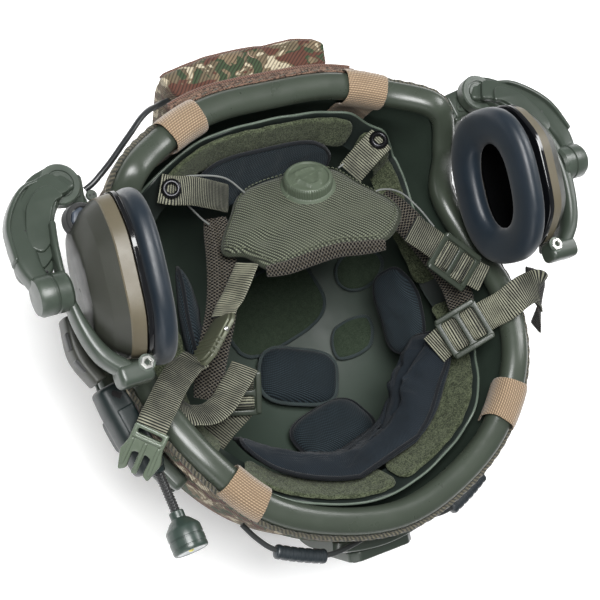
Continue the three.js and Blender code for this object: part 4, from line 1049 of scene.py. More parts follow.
panel_line = route_through(PANEL_OUTLINE, 200, closed=True)
canvas = canvas_look("panel_canvas", (0.43, 0.45, 0.38), (0.075, 0.085, 0.065), 2.1)
panel, panel_edge = pad_piece(
    "nape_panel_cloth", panel_line, -PANEL["thick"], 0.9, on_panel, lambda a, b: np.stack([a, b], -1), canvas,
    "panel_cloth", ["nape_panel"], panel_relief, fullness=9)
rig.padded(panel, fill=0.9)
tape_look = knit_look("panel_tape", (0.27, 0.29, 0.24), (0.12, 0.13, 0.10), 1.1, 0.1)
bound("nape_panel_binding", panel_edge, 1.25, tape_look, "panel_cloth")
stitch_centre = panel_line.mean(0)
stitch_line = stitch_centre + (panel_line - stitch_centre) * PANEL["stitch"]
stitch_run = route_through(np.column_stack([stitch_line, np.zeros(len(stitch_line))]), 1040,
                           closed=True)[:, :2]
stitches = stitch_run.reshape(104, 10, 2)[:, :7]
stitch_rise = 1.0 + 0.35 * np.sin(np.linspace(0, np.pi, 7)) + panel_relief(stitches[..., 0], stitches[..., 1])
stitch_path = on_panel(stitches[..., 0], stitches[..., 1], stitch_rise - 0.35)
thread_ring = rounded(2, 6) * 0.28
thread = []
for path in stitch_path:
    across, lift = directions(path, panel_n)
    thread.append(carried(path, across, lift, thread_ring))
thread_look = satin_look("panel_thread", (0.27, 0.29, 0.22), 0.6, 0.1)
put("nape_panel_stitches", thread, thread_look, "panel_cloth")

# Fit dial: a moulded knob on the panel, ribbed round its side, with a raised three-sided grip on its face.
dial_look = satin_look("dial_plastic", (0.31, 0.345, 0.29), 0.36, 0.6)
dial_turn = np.linspace(0, 2 * np.pi, 720, endpoint=False)[:, None]
tooth = 0.5 + 0.5 * np.tanh(3 * np.cos(dial_turn * DIAL["teeth"]))
dial_rows = np.array([
    (0.01, 0.3, 0), (16, 0.3, 0), (16, 0.9, 0), (15.6, 1.5, 0), (14.6, 1.8, 0), (14.1, 2.2, 1),
    (14.1, 6.8, 1),
    (13.9, 7.4, 0.8), (13.2, 8.2, 0.2), (12.6, 8.5, 0), (12.0, 8.5, 0), (11.5, 7.8, 0), (9.6, 7.6, 0),
    (8.6, 7.6, 0), (7.4, 7.7, 0), (6, 7.8, 0), (4, 8.0, 0), (2, 8.1, 0), (0.01, 8.15, 0),
])
dial_radius = dial_rows[:, 0] - DIAL["depth"] * dial_rows[:, 2] * (1 - tooth)
three = np.cos(3 * (dial_turn - np.radians(30)))
grip = np.clip((9.5 + 1.6 * three - dial_radius) / 1.6, 0, 1) * np.clip(dial_rows[:, 1] - 7, 0, 1)
hollow = 1.1 * np.clip((6.2 + 1.1 * three - dial_radius) / 1.4, 0, 1) * (dial_rows[:, 1] > 7)
dial_height = dial_rows[:, 1] + 1.5 * (3 - 2 * grip) * grip**2 * (dial_radius < 11.6) - hollow
dial_a = DIAL["a"] + dial_radius * np.cos(dial_turn)
dial_b = DIAL["b"] + dial_radius * np.sin(dial_turn)
put("fit_dial_knob", on_panel(dial_a, dial_b, dial_height), dial_look, "hardware_plastic", ["fit_dial"],
    "dial", around=False, loop=True, crease=30)


# Webbing: narrow woven nylon with a rib for every weft thread, light, with painted shade between the ribs. Each strap
# is a flat band laid along its route, sewn or threaded at its ends.
STRAP_FACES = {
    "strap_rear_left": (-0.35, -0.1, 1), "strap_rear_right": (-0.2, 0.1, 1),
    "strap_side_left": (-0.75, 0.25, 0.6),
    "strap_side_right": (-0.29, -0.1, 0.95),
    "chin_strap_left": [(-0.45, -0.12, 0.88)] * 3 + [(-0.6, 0.3, 0.75)],
    "chin_strap_left_loop": [(-0.45, -0.12, 0.88), (-0.05, 0.55, 0.85), (-0.35, 0.3, 0.88),
                             (-0.5, -0.1, 0.85)],
    "chin_strap_left_root": (-0.45, -0.12, 0.88),
    "chin_strap_right": [(-0.5, -0.1, 0.85)] * 5 + [(0.9, 0.1, 0.3)],
}
STRAP_WIDTHS = {
    "strap_rear_left": 16, "strap_rear_right": 16, "strap_side_left": 15, "strap_side_right": 16,
    "chin_strap_left": 16, "chin_strap_left_loop": 15, "chin_strap_left_root": 16, "chin_strap_right": 18,
}
STRAP_ROUTES = {
    "strap_rear_left": [(-72, 78.5, 129.5), (-66, 75.5, 130.5), (-54, 73.5, 128), (-40, 70.5, 121),
                        (-27, 68.5, 111.5)],
    "strap_rear_right": [(71, 77.6, 129.5), (66.5, 75.5, 129), (58, 70.5, 125.5), (49.5, 64.5, 118.5)],
    "strap_side_left": [(-36, 27, 127), (-43, 19.5, 127.5), (-50, 12, 127), (-56, 7, 127.5), (-61, 2, 129)],
    "strap_side_right": [(60, 20, 144), (74, 8.2, 139.5), (85.4, -2.7, 136), (96.6, -13.2, 133),
                         (102, -18.5, 133.5)],
    "chin_strap_left": [
        (-128.5, -46, 154.5), (-125, -42, 155), (-117, -35.4, 150.5), (-107.4, -27.5, 145), (-97, -20.8, 138),
        (-87.8, -17, 132.5), (-83, -16, 130.5),
    ],
    "chin_strap_left_loop": [
        (-110, -30, 138), (-106, -34.5, 134), (-101, -39.5, 130), (-92, -43.5, 126), (-82, -44.5, 122),
        (-72, -41, 119), (-64, -35, 117), (-56, -29, 115.5), (-51.5, -25, 114),
    ],
    "chin_strap_left_root": [(-52, -43, 100), (-59, -47, 97.5), (-66, -51.5, 93), (-73, -57, 87)],
    "chin_strap_right": [
        (66, -48, 112.5), (73.5, -44.7, 116.3), (85.8, -41.7, 124.2), (95.3, -39.1, 132.8),
        (101.2, -37.8, 145),
        (111, -34, 150.5), (120, -32.5, 150), (126.5, -32.5, 147.5), (129.5, -35, 141), (130.5, -40, 133),
    ],
}
STRAP = {"thick": 1.6, "pitch": 1.35, "rib": 0.16, "per_rib": 6, "columns": 9}


def webbing_look(name, light, dark, pitch):
    """Ribbed webbing: light weft threads with painted shade in the gap between each two, over fine lengthwise warps.
    """
    look = Look(name, 0.62, Sheen_Weight=0.08, Specular_IOR_Level=0.25)
    run = look.cloth()
    rib = look.wave(look.axis(run, 0), pitch)
    warp = look.wave(look.axis(run, 1), 0.8)
    worn = look.noise(look.space(), 7, 4)
    ground = look.mix(look.step(worn, 0.35, 0.7), tone(*light), tone(*[0.8 * c for c in light]))
    # The dark in the gap between each two ribs is painted shade.
    look.colour(look.mix(look.step(rib, 0.3, 0.72), tone(*dark), ground))
    look.bump(look.math("MULTIPLY", warp, 0.6), 0.12)
    return look


def webbing_band(name, route, face, width, look, nodes=(), slot="webbing", wave=0.0):
    """A ribbed band: a flat section carried along its route, thicker and thinner with each weft thread.
    Its flat side faces one way, or turns through several ways spread evenly along it."""
    smooth = route_through(route, 400)
    long = float(np.linalg.norm(np.diff(smooth, axis=0), axis=1).sum())
    ribs = int(long / STRAP["pitch"])
    smooth = route_through(route, ribs * STRAP["per_rib"] + 1)
    share = np.linspace(0, 1, len(smooth))[:, None]
    faces = np.atleast_2d(np.array(face, float))
    facing = np.stack([np.interp(share[:, 0], np.linspace(0, 1, len(faces)), column) for column in faces.T],
                      1)
    across, lift = directions(smooth, facing)
    section = band_profile(1, 1, STRAP["columns"], 8)
    swollen = STRAP["thick"] + 2 * STRAP["rib"] * np.sin(share * ribs * 2 * np.pi)
    buckle = wave * ripple(share * long, section[:, 0] * 20, 15, 51)
    profile = np.stack(np.broadcast_arrays(section[:, 0] * width, section[:, 1] * swollen + buckle), -1)
    run = np.stack(np.broadcast_arrays(share * long * ribs * STRAP["pitch"] / long - STRAP["pitch"] / 4,
                                       section[:, 0] * width), -1)
    band = put(name, carried(smooth, across, lift, profile), look, slot, nodes, run=run, crease=60)
    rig.sheet(band, flat=(width * MM, long * MM), held="stretched", rests_on=["rim_roll"])
    return band


ribbed = webbing_look("ribbed_webbing", (0.51, 0.51, 0.44), (0.04, 0.05, 0.035), STRAP["pitch"])
for name, route in STRAP_ROUTES.items():
    webbing_band(name + "_webbing", route, STRAP_FACES[name], STRAP_WIDTHS[name], ribbed,
                 [name.replace("_loop", "")], wave=0.15)

tail_look = webbing_look("dark_webbing", (0.20, 0.17, 0.14), (0.03, 0.03, 0.025), STRAP["pitch"])
webbing_band("chin_strap_right_tail",
             [(119, -27, 149), (127, -30, 146), (130.5, -38, 140), (131, -47, 132), (130, -54, 126)],
             [(-0.3, 0.1, 0.95), (0.3, 0.2, 0.9), (0.85, 0.2, 0.5)], 15, tail_look, wave=0.5)

# Grommets: blackened steel rings with a bright worn lip, pressed through the straps beside the nape.
GROMMETS = {
    "grommet_left": ((-66.5, 76, 132), (-0.35, -0.1, 1)), "grommet_right": ((68, 77, 131), (-0.2, 0.1, 1)),
}
grommet_look = satin_look("black_steel", (0.11, 0.11, 0.12), 0.25, 0.9, metallic=0.7)
for name, (place, normal) in GROMMETS.items():
    profile = [(2.6, 0), (5.6, 0), (5.6, 0.5), (5.2, 1.3), (4.2, 1.9), (3.2, 1.8), (2.7, 1.2)]
    turned(name + "_ring", profile, place, normal, grommet_look, "grommet_steel", [name], crease=50)

# Mesh arms: open spacer mesh over foam, one at each side of the nape panel, down to the felt.
MESH_ARMS = {
    "mesh_arm_left": [(-35, 60, 104), (-42, 36, 110), (-53, 9, 113), (-66, -14, 111), (-76, -35.5, 105.5)],
    "mesh_arm_right": [(69, 48, 110), (76, 30, 116), (84, 8, 119), (91, -14, 119), (94, -36, 112)],
}
MESH = {"half": 8.5, "deep": 2.6, "power": 3, "face": (-0.4, -0.1, 0.9), "cell": 3.9, "relief": 0.9}


def mesh_look(name, light, dark, cell):
    """Spacer mesh: knitted strands round oval holes, which are painted near black as the shade inside them, in
    staggered rows.
    """
    look = Look(name, 0.8, Sheen_Weight=0.1, Specular_IOR_Level=0.15)
    run = look.cloth()
    along = look.math("MULTIPLY", look.axis(run, 0), 2 * np.pi / cell)
    across = look.math("MULTIPLY", look.axis(run, 1), np.pi / cell * 1.4)
    hole = look.math("MULTIPLY", look.math("SINE", look.math("ADD", along, across)),
                     look.math("SINE", look.math("SUBTRACT", along, across)))
    strand = look.step(look.math("ABSOLUTE", hole), 0.12, 0.5, 1, 0)
    fibre = look.wave(look.math("ADD", look.axis(run, 0), look.axis(run, 1)), 0.55)
    lit = look.math("MULTIPLY", strand, look.math("MULTIPLY_ADD", fibre, 0.4, 0.6))
    # The holes are painted near black: the shade inside them.
    look.colour(look.mix(lit, tone(*dark), tone(*light)))
    look.bump(strand, 0.5)
    return look


# The second tone is the painted shade in the holes.
spacer = mesh_look("spacer_mesh", (0.37, 0.345, 0.30), (0.012, 0.013, 0.012), MESH["cell"])


def mesh_band(name, route, face, half, deep, nodes, count=260, sides=48):
    """A padded strip of spacer mesh: its skin is pressed in at every hole of the knit."""
    line = route_through(route, count)
    across, lift = directions(line, face)
    share = np.linspace(0, 1, count)[:, None]
    fade = half * (1 - 0.25 * np.abs(2 * share - 1) ** 6)
    ring = rounded(MESH["power"], sides)
    long = np.linalg.norm(np.diff(line, axis=0), axis=1).sum()
    along = share * long * 2 * np.pi / MESH["cell"]
    over = ring[:, 0] * half * np.pi / MESH["cell"] * 1.4
    hole = np.clip(np.abs(np.sin(along + over) * np.sin(along - over)) * 1.6 - 0.3, 0, 1)
    profile = np.stack(np.broadcast_arrays(ring[:, 0] * fade, ring[:, 1] * (deep - MESH["relief"] * hole)),
                       -1)
    run = np.stack(np.broadcast_arrays(share * long, ring[:, 0] * half), -1)
    return put(name, carried(line, across, lift, profile), spacer, "mesh_cloth", nodes, run=run)


for name, route in MESH_ARMS.items():
    arm = mesh_band(name + "_spacer", route, MESH["face"], MESH["half"], MESH["deep"], [name])
    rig.padded(arm, fill=0.7)
strip_route = np.array(MESH_STRIP, float)
strip_path = on_panel(strip_route[:, 0], strip_route[:, 1] - 2, np.full(len(strip_route), -3.4))
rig.padded(mesh_band("nape_mesh_strip", strip_path, panel_n * 0.6 - panel_y, 4, 1.6, [], 170, 32), fill=0.6)

# Strap clips: moulded nylon plates with two slots and a middle bar, each long side thickened to a rail.
# The webbing runs under the plate and shows through both slots.
CLIPS = {
    "strap_clip_side_right": {"place": (84.6, -4.4, 136.0), "along": (0.7, -0.68, -0.2),
                              "normal": (-0.06, -0.34, 0.94), "wide": 23, "long": 29},
    "strap_clip_chin_right": {"place": (82, -42.4, 126.5), "along": (0.82, 0.2, 0.54),
                              "normal": (-0.6, -0.1, 0.85), "wide": 25, "long": 27},
    "strap_clip_chin_left": {"place": (-56, -38, 107), "along": (-3, -19, -8), "normal": (-0.39, -0.31, 0.87),
                             "wide": 22, "long": 25},
}
CLIP = {"thick": 2.6, "bar": 3}


def axes_from(along, normal):
    """Along, across and normal of a flat part, with along made square to the normal."""
    upright = unit(np.array(normal, float))
    ahead = np.array(along, float)
    ahead = unit(ahead - upright * (ahead @ upright))
    return np.stack([ahead, np.cross(upright, ahead), upright])


def eased(outline, corner, steps=5):
    """An outline with each corner rounded: a parabola between points set back from the corner along both
    sides."""
    p = np.array(outline, float)
    back, fore = np.roll(p, 1, 0) - p, np.roll(p, -1, 0) - p
    reach = np.minimum(corner, 0.45 * np.minimum(np.linalg.norm(back, axis=1),
                                                 np.linalg.norm(fore, axis=1)))[:, None]
    start, end = (p + unit(back) * reach)[:, None], (p + unit(fore) * reach)[:, None]
    t = np.linspace(0, 1, steps)[None, :, None]
    return ((1 - t) ** 2 * start + 2 * t * (1 - t) * p[:, None] + t**2 * end).reshape(-1, 2)


def plate(name, outline, thick, place, axes, look, slot, nodes=(), body="root", holes=(), bevel=0.5,
          corner=1.6):
    """A moulded plate: a flat outline with its holes, filled, thickened and rounded at its edges, stood
    in place."""
    flat = bpy.data.curves.new(name, "CURVE")
    flat.dimensions, flat.fill_mode = "2D", "BOTH"
    flat.extrude, flat.bevel_depth, flat.offset, flat.bevel_resolution = thick / 2 - bevel, bevel, -bevel, 2
    for ring in [outline, *holes]:
        ring = eased(ring, corner)
        spline = flat.splines.new("POLY")
        spline.points.add(len(ring) - 1)
        spline.points.foreach_set("co",
                                  np.column_stack([ring, np.zeros(len(ring)), np.ones(len(ring))]).ravel())
        spline.use_cyclic_u = True
    holder = bpy.data.objects.new(name + "_outline", flat)
    mesh = bpy.data.meshes.new_from_object(holder)
    bpy.data.objects.remove(holder)
    spots = np.empty(len(mesh.vertices) * 3, np.float32)
    mesh.vertices.foreach_get("co", spots)
    spots = (spots.reshape(-1, 3) @ np.asarray(axes) + np.array(place, float)) * MM
    mesh.vertices.foreach_set("co", spots.astype(np.float32).ravel())
    form = bmesh.new()
    form.from_mesh(mesh)
    bmesh.ops.remove_doubles(form, verts=form.verts, dist=2e-6)
    bmesh.ops.recalc_face_normals(form, faces=form.faces)
    form.to_mesh(mesh)
    form.free()
    mesh.materials.clear()
    mesh.shade_smooth()
    mesh.set_sharp_from_angle(angle=np.radians(30))
    return placed(name, mesh, look, slot, nodes, body)


def bar(name, points, face, sizes, look, slot, nodes=(), body="root", power=4.0, steps=44, sides=40,
        ends=1.2):
    """A moulded bar: a superellipse carried along a smooth route, its half width and half height read
    from a table spread evenly along the way, and drawn in to a quarter round at each end."""
    share = (1 - np.cos(np.linspace(0, np.pi, steps))) / 2
    smooth = route_through(points, 400)
    long = np.linalg.norm(np.diff(smooth, axis=0), axis=1).sum()
    route = np.stack([np.interp(share, np.linspace(0, 1, 400), column) for column in smooth.T], 1)
    table = np.atleast_2d(np.array(sizes, float))
    half = np.stack([np.interp(share, np.linspace(0, 1, len(table)), column) for column in table.T], 1)
    from_end = np.minimum(share, 1 - share) * long
    inset = ends * (1 - np.sqrt(np.clip(1 - np.clip(1 - from_end / ends, 0, 1) ** 2, 0, 1)))
    across, lift = directions(route, face)
    profile = rounded(power, sides)[None] * (half - inset[:, None])[:, None]
    return put(name, carried(route, across, lift, profile), look, slot, nodes, body)


def block(low, high):
    """The four corners of a rectangle."""
    return [(low[0], low[1]), (high[0], low[1]), (high[0], high[1]), (low[0], high[1])]


clip_look = satin_look("clip_nylon", (0.18, 0.205, 0.17), 0.36, 0.5)
for name, clip in CLIPS.items():
    axes, place = axes_from(clip["along"], clip["normal"]), np.array(clip["place"])
    half_wide, half_long = clip["wide"] / 2, clip["long"] / 2
    slot_wide = half_wide - CLIP["bar"]
    slots = [block((low, -slot_wide), (high, slot_wide))
             for low, high in ((-half_long + 3, -1.5), (1.5, half_long - 3))]
    plate(name + "_plate", block((-half_long, -half_wide), (half_long, half_wide)), CLIP["thick"], place,
          axes, clip_look, "hardware_plastic", [name], holes=slots, bevel=0.6, corner=2.2)
    for side, label in ((-1, "low"), (1, "high")):
        line = [place + axes[0] * half_long * t + axes[1] * side * (half_wide - 1.1) + axes[2] * 0.9
                for t in (-0.97, 0, 0.97)]
        bar(f"{name}_rail_{label}", line, axes[2], [(1.5, 1.1), (1.7, 1.6), (1.5, 1.1)], clip_look,
            "hardware_plastic", power=3.5, ends=1.4)
    under = [place + axes[0] * half_long * t + axes[2] * h
             for t, h in ((-0.86, -2.3), (-0.5, 0.1), (-0.1, -2.4), (0.1, -2.4), (0.5, 0.5), (0.86, -2.3))]
    webbing_band(name + "_webbing", under, axes[2], 2 * slot_wide - 0.8, ribbed)

# Ladder buckle on the left side strap: two stacked plates with cross ribs and a bright rivet at each side.
LADDER = {"place": (-71.5, -8.5, 131), "along": (-27, -21, 4), "normal": (-0.62, 0.75, 0.2)}
LADDER_OUTLINE = [(-17, -7), (-12, -9.5), (12, -9.5), (17, -6), (17, 6), (12, 9.5), (-12, 9.5), (-17, 7)]
ladder_axes, ladder_place = axes_from(LADDER["along"], LADDER["normal"]), np.array(LADDER["place"])
buckle_look = satin_look("buckle_nylon", (0.30, 0.31, 0.25), 0.36, 0.5)
plate("ladder_buckle_plate", LADDER_OUTLINE, 2.4, ladder_place - ladder_axes[2] * 0.8, ladder_axes,
      buckle_look, "hardware_plastic", ["ladder_buckle"], corner=2)
plate("ladder_buckle_cover", [(x * 0.9, y * 0.9) for x, y in LADDER_OUTLINE], 1.4,
      ladder_place + ladder_axes[2] * 1.3, ladder_axes, buckle_look, "hardware_plastic", bevel=0.4, corner=2)
for rib, t in enumerate((1.5, 4.5, 7.5, 10.5)):
    line = [ladder_place + ladder_axes[0] * t + ladder_axes[1] * s for s in (-9.9, 0, 9.9)]
    bar(f"ladder_buckle_rib_{rib}", line, ladder_axes[2], [(0.8, 2.6)], buckle_look, "hardware_plastic",
        power=3)
rivet_look = satin_look("rivet_steel", (0.72, 0.72, 0.70), 0.25, 0.3, metallic=0.9)
for side, label in ((-1, "low"), (1, "high")):
    turned("ladder_buckle_rivet_" + label, [(0, 0), (1.5, 0), (1.4, 0.5), (0.9, 0.9), (0, 1)],
           ladder_place - ladder_axes[0] * 5 + ladder_axes[1] * side * 9.2, ladder_axes[1] * side, rivet_look,
           "hardware_plastic", sides=24)

# Side-release buckle: the half with three prongs, pale translucent nylon, on the chin strap's free end.
PRONGS = {"place": (-134, -54.5, 150), "along": (-6, -7.7, -4.3), "normal": (-0.5, -0.1, 0.85), "thick": 4}
PRONG_OUTLINE = [
    (-12, -9), (-3, -9), (3, -11), (13, -8), (11, -4.5), (2, -5), (1, -1.5), (12, -1.5), (12, 1.5), (1, 1.5),
    (2, 5), (11, 4.5), (13, 8), (3, 11), (-3, 9), (-12, 9),
]
prong_look = satin_look("translucent_nylon", (0.36, 0.40, 0.34), 0.2, 0.5)
prong_look.shader.inputs["Transmission Weight"].default_value = 0.2
prong_axes, prong_place = axes_from(PRONGS["along"], PRONGS["normal"]), np.array(PRONGS["place"])
plate("side_release_prongs", PRONG_OUTLINE, PRONGS["thick"], prong_place, prong_axes, prong_look,
      "hardware_plastic",
      ["side_release_buckle"], holes=[block((-10, -6.5), (-7.6, 6.5))], bevel=0.7, corner=1.2)
for rib, (a, b) in enumerate((((-5, -7), (10, -7.4)), ((-5, 0), (10, 0)), ((-5, 7), (10, 7.4)),
                              ((-6, -8), (-6, 8)))):
    line = [prong_place + prong_axes[0] * x + prong_axes[1] * y + prong_axes[2] * 2.1 for x, y in (a, b)]
    bar(f"side_release_rib_{rib}", line, prong_axes[2], [(1.0, 1.0)], prong_look, "hardware_plastic",
        power=2.4)

# Side rails: moulded accessory rails with a long groove, screwed to the shell over the cover.
RAILS = {"side_rail_right": (-34, 33.5), "side_rail_left": (146.5, 214)}
RAIL = {"middle": -27, "half": 9, "near": 3.8, "far": 12, "screws": 4, "end": 3}
RAIL_SECTION = [(-1, 0), (-1, 0.8), (-0.8, 1), (-0.42, 1), (-0.3, 0.55), (0.3, 0.55), (0.42, 1), (0.8, 1),
                (1, 0.8), (1, 0)]
hardware_look = satin_look("rail_nylon", (0.205, 0.235, 0.205), 0.33, 0.5)
screw_look = satin_look("screw_steel", (0.12, 0.13, 0.12), 0.35, 0.8, metallic=0.6)
for name, (start, end) in RAILS.items():
    ring = eased(np.array(RAIL_SECTION) * (9, 8), 0.8) / (9, 8)
    share = (1 - np.cos(np.linspace(0, np.pi, 90))) / 2
    bearing = (start + (end - start) * share)[:, None]
    from_end = np.minimum(share, 1 - share)[:, None] * (end - start) * np.pi / 180 * 114
    drawn = RAIL["end"] * (1 - np.sqrt(np.clip(1 - np.clip(1 - from_end / RAIL["end"], 0, 1) ** 2, 0, 1)))
    z = edge_at(bearing)[1] + RAIL["middle"] + ring[None, :, 0] * (RAIL["half"] - drawn)
    off = RAIL["near"] + (RAIL["far"] - RAIL["near"]) * ring[None, :, 1] * (1 - 0.3 * drawn / RAIL["end"])
    put(name + "_groove", on_bowl(bearing, z, off), hardware_look, "hardware_plastic", [name])
    for screw in range(RAIL["screws"]):
        at = start + (end - start) * (screw + 0.5) / RAIL["screws"]
        middle = edge_at(at)[1] + RAIL["middle"]
        head, foot = on_bowl(at, middle, 8.3), on_bowl(at, middle, 0)
        turned(f"{name}_screw_{screw}",
               [(0, -1), (2.6, -1), (2.6, 0.5), (2.2, 0.9), (1.2, 0.9), (1.1, 0.1), (0, 0.1)],
               head, head - foot, screw_look, "hardware_plastic", sides=24)

# Front shroud: a curved foot on the forehead with a flat plate for an accessory, three screws and a window.
SHROUD = {"from": -104, "to": -76, "low": 62, "high": 108, "near": 3.6, "far": 11, "z": 86, "face": 15,
          "wide": 42, "tall": 34, "thick": 6, "chamfer": 5}
shroud_bearing = np.linspace(SHROUD["from"], SHROUD["to"], 40)[:, None]
shroud_ring = rounded(8, 64)[None]
shroud_end = (1 - np.abs(np.linspace(-1, 1, 40))[:, None] ** 12) ** 0.5 * 0.12 + 0.88
shroud_middle, shroud_half = (SHROUD["high"] + SHROUD["low"]) / 2, (SHROUD["high"] - SHROUD["low"]) / 2
shroud_z = shroud_middle + shroud_half * shroud_ring[..., 0] * shroud_end
shroud_outness = 0.5 + 0.5 * shroud_ring[..., 1] * shroud_end
shroud_off = SHROUD["near"] + (SHROUD["far"] - SHROUD["near"]) * shroud_outness
put("front_shroud_foot", on_bowl(shroud_bearing, shroud_z, shroud_off), hardware_look, "hardware_plastic",
    ["front_shroud"])
shroud_face, shroud_skin = [on_bowl(-90, SHROUD["z"], off)
                            for off in (SHROUD["face"] - SHROUD["thick"] / 2, 0)]
shroud_axes = axes_from((1, 0, 0), shroud_face - shroud_skin)
w, t, c = SHROUD["wide"] / 2, SHROUD["tall"] / 2, SHROUD["chamfer"]
shroud_outline = [(-w, -t + c), (-w + c, -t), (w - c, -t), (w, -t + c), (w, t - c), (w - c, t), (-w + c, t),
                  (-w, t - c)]
plate("front_shroud_plate", shroud_outline, SHROUD["thick"], shroud_face, shroud_axes, hardware_look,
      "hardware_plastic", holes=[block((-10, -9), (10, 6))], bevel=0.9, corner=1.5)
for screw, (a, b) in enumerate(((-15.5, 10), (15.5, 10), (0, -13))):
    turned(f"front_shroud_screw_{screw}", [(0, 0), (3, 0), (2.8, 0.8), (1.4, 0.9), (1.3, 0.3), (0, 0.3)],
           shroud_face + shroud_axes[0] * a + shroud_axes[1] * b + shroud_axes[2] * SHROUD["thick"] / 2,
           shroud_axes[2], screw_look, "hardware_plastic", sides=24)

# Grips: slate tubes on the two elastic cords that hold an accessory down, either side of the shroud.
GRIPS = {"bungee_grip_right": (-73, -60), "bungee_grip_left": (-120, -107)}
GRIP = {"z": 112, "off": 12.2, "radius": 4, "rings": 7}
grip_look = satin_look("slate_nylon", (0.125, 0.15, 0.165), 0.4, 0.3)
elastic_cord_look = rubber_look("elastic_cord", (0.10, 0.115, 0.115), 0.7, 0.1)
for name, (start, end) in GRIPS.items():
    line = on_bowl(np.linspace(start, end, 120), GRIP["z"], GRIP["off"])
    share = np.linspace(0, 1, 120)
    ribs = 1 - 0.07 * (np.cos(share * GRIP["rings"] * 2 * np.pi) > 0.2)
    neck = np.sqrt(np.clip(1 - np.clip(1 - np.minimum(share, 1 - share) * 14, 0, 1) ** 2, 0.1, 1))
    across, lift = directions(line, (0, 0, 1))
    ring = rounded(2.4, 36)[None] * (GRIP["radius"] * ribs * neck)[:, None, None]
    put(name + "_tube", carried(line, across, lift, ring), grip_look, "grip_plastic", [name])
    cord_ends = on_bowl(np.linspace(start - 9, end + 9, 9), GRIP["z"] + 1,
                        [4.6, 8, 11, *[GRIP["off"]] * 3, 11, 8, 4.6])
    cord_piece(name + "_cord", cord_ends, 1.5, 80, elastic_cord_look, "webbing", sides=12)

# Helmet light on the left rail: a moulded case on a foot, a bendy braided neck and a stepped aluminium head.
LIGHT_CASE = [(-137, -17, 133), (-132.5, -40, 133), (-127, -64, 131.5)]
LIGHT_NECK = [(-123.8, -62.5, 131.6), (-122.4, -74, 131), (-120.9, -88, 130.3)]
LIGHT_HEAD = {"start": (-120.9, -87.4, 130.2), "end": (-120.6, -108.8, 133.6)}
dark_look = satin_look("light_nylon", (0.085, 0.12, 0.12), 0.42, 0.4)
dark_look.shader.inputs["Specular IOR Level"].default_value = 0.3
bar("light_case", LIGHT_CASE, (0, 0, 1), [(7.2, 8.6), (8, 9.5), (8, 9.5), (8, 9.5), (7.6, 9.2)], dark_look,
    "dark_plastic", ["light_body"], power=3.4, ends=2.6, steps=60)
bar("light_foot", [(-131.5, -40, 126), (-131.5, -40, 104)], (1, 0.2, 0), [(9, 2.6)], dark_look,
    "dark_plastic", ends=0.8)
bar("light_case_lid", [(-133.5, -30, 142), (-129, -52, 141.6)], (0, 0, 1), [(4.6, 1.2)], dark_look,
    "dark_plastic", power=3, ends=1.1)
# A near-black bar on the lid stands for its slot: painted shade.
bar("light_case_slot", [(-137.4, -21.4, 141.4), (-133, -24.6, 142.3)], (0, 0, 1), [(1.6, 0.7)], hole_shade_look,
    "dark_plastic", power=3, ends=0.7)
bar("light_collar", [(-124.6, -57, 131.8), (-123.2, -66.4, 131.4)], (0, 0, 1),
    [(4.6, 4.6), (4.6, 4.6), (3.6, 3.6)], dark_look, "dark_plastic", power=2.2, ends=0.8)
neck_line = route_through(LIGHT_NECK, 220)
neck_across, neck_lift = directions(neck_line, (0, 0, 1))
around_neck = np.arange(36) / 36 * 2 * np.pi
twist = np.linspace(0, 26, 220)[:, None]
braid = 2.4 + 0.1 * np.sin(around_neck * 4 + twist * 4) + 0.1 * np.sin(around_neck * 4 - twist * 4)
neck_ring = np.stack([np.cos(around_neck) * braid, np.sin(around_neck) * braid], -1)
neck_look = rubber_look("neck_sleeve", (0.035, 0.04, 0.043), 0.45, 0.03)
put("light_neck_sleeve", carried(neck_line, neck_across, neck_lift, neck_ring), neck_look, "neck_steel",
    ["light_neck"])
head_axis = np.array(LIGHT_HEAD["end"]) - LIGHT_HEAD["start"]
HEAD_PROFILE = [
    (0, 0), (3.4, 0), (3.9, 0.5), (3.9, 3.9), (4.3, 4.4), (5.7, 5.4), (8.5, 8.6), (9.2, 9.8), (9.3, 14.0),
    (9.0, 14.2),
    (9.0, 14.8), (9.3, 15.0), (9.3, 18.4), (9.1, 18.6), (9.1, 19.0), (9.3, 19.2), (9.3, 20.8), (8.9, 21.6),
    (8.1, 21.8), (7.8, 21.2), (7.6, 20.4), (0, 20.4),
]
head_look = satin_look("light_head_paint", (0.165, 0.21, 0.19), 0.3, 0.7)
turned("light_head_body", HEAD_PROFILE, LIGHT_HEAD["start"], head_axis, head_look, "dark_plastic",
       ["light_head"], sides=64)
reflector_look = satin_look("reflector", (0.50, 0.52, 0.52), 0.16, 0.1, 0.005, 0.95)
turned("light_reflector", [(0, 20.5), (2, 20.6), (5, 21.0), (7.5, 21.6), (7.7, 21.1), (7.7, 20.42),
                           (0, 20.42)],
       LIGHT_HEAD["start"], head_axis, reflector_look, "neck_steel")
led_look = satin_look("led", (0.9, 0.85, 0.45), 0.2, 0.0)
turned("light_diode", [(0, 20.6), (1.4, 20.6), (1.4, 21.2), (1.0, 21.7), (0, 21.9)], LIGHT_HEAD["start"],
       head_axis, led_look, "neck_steel", sides=24)

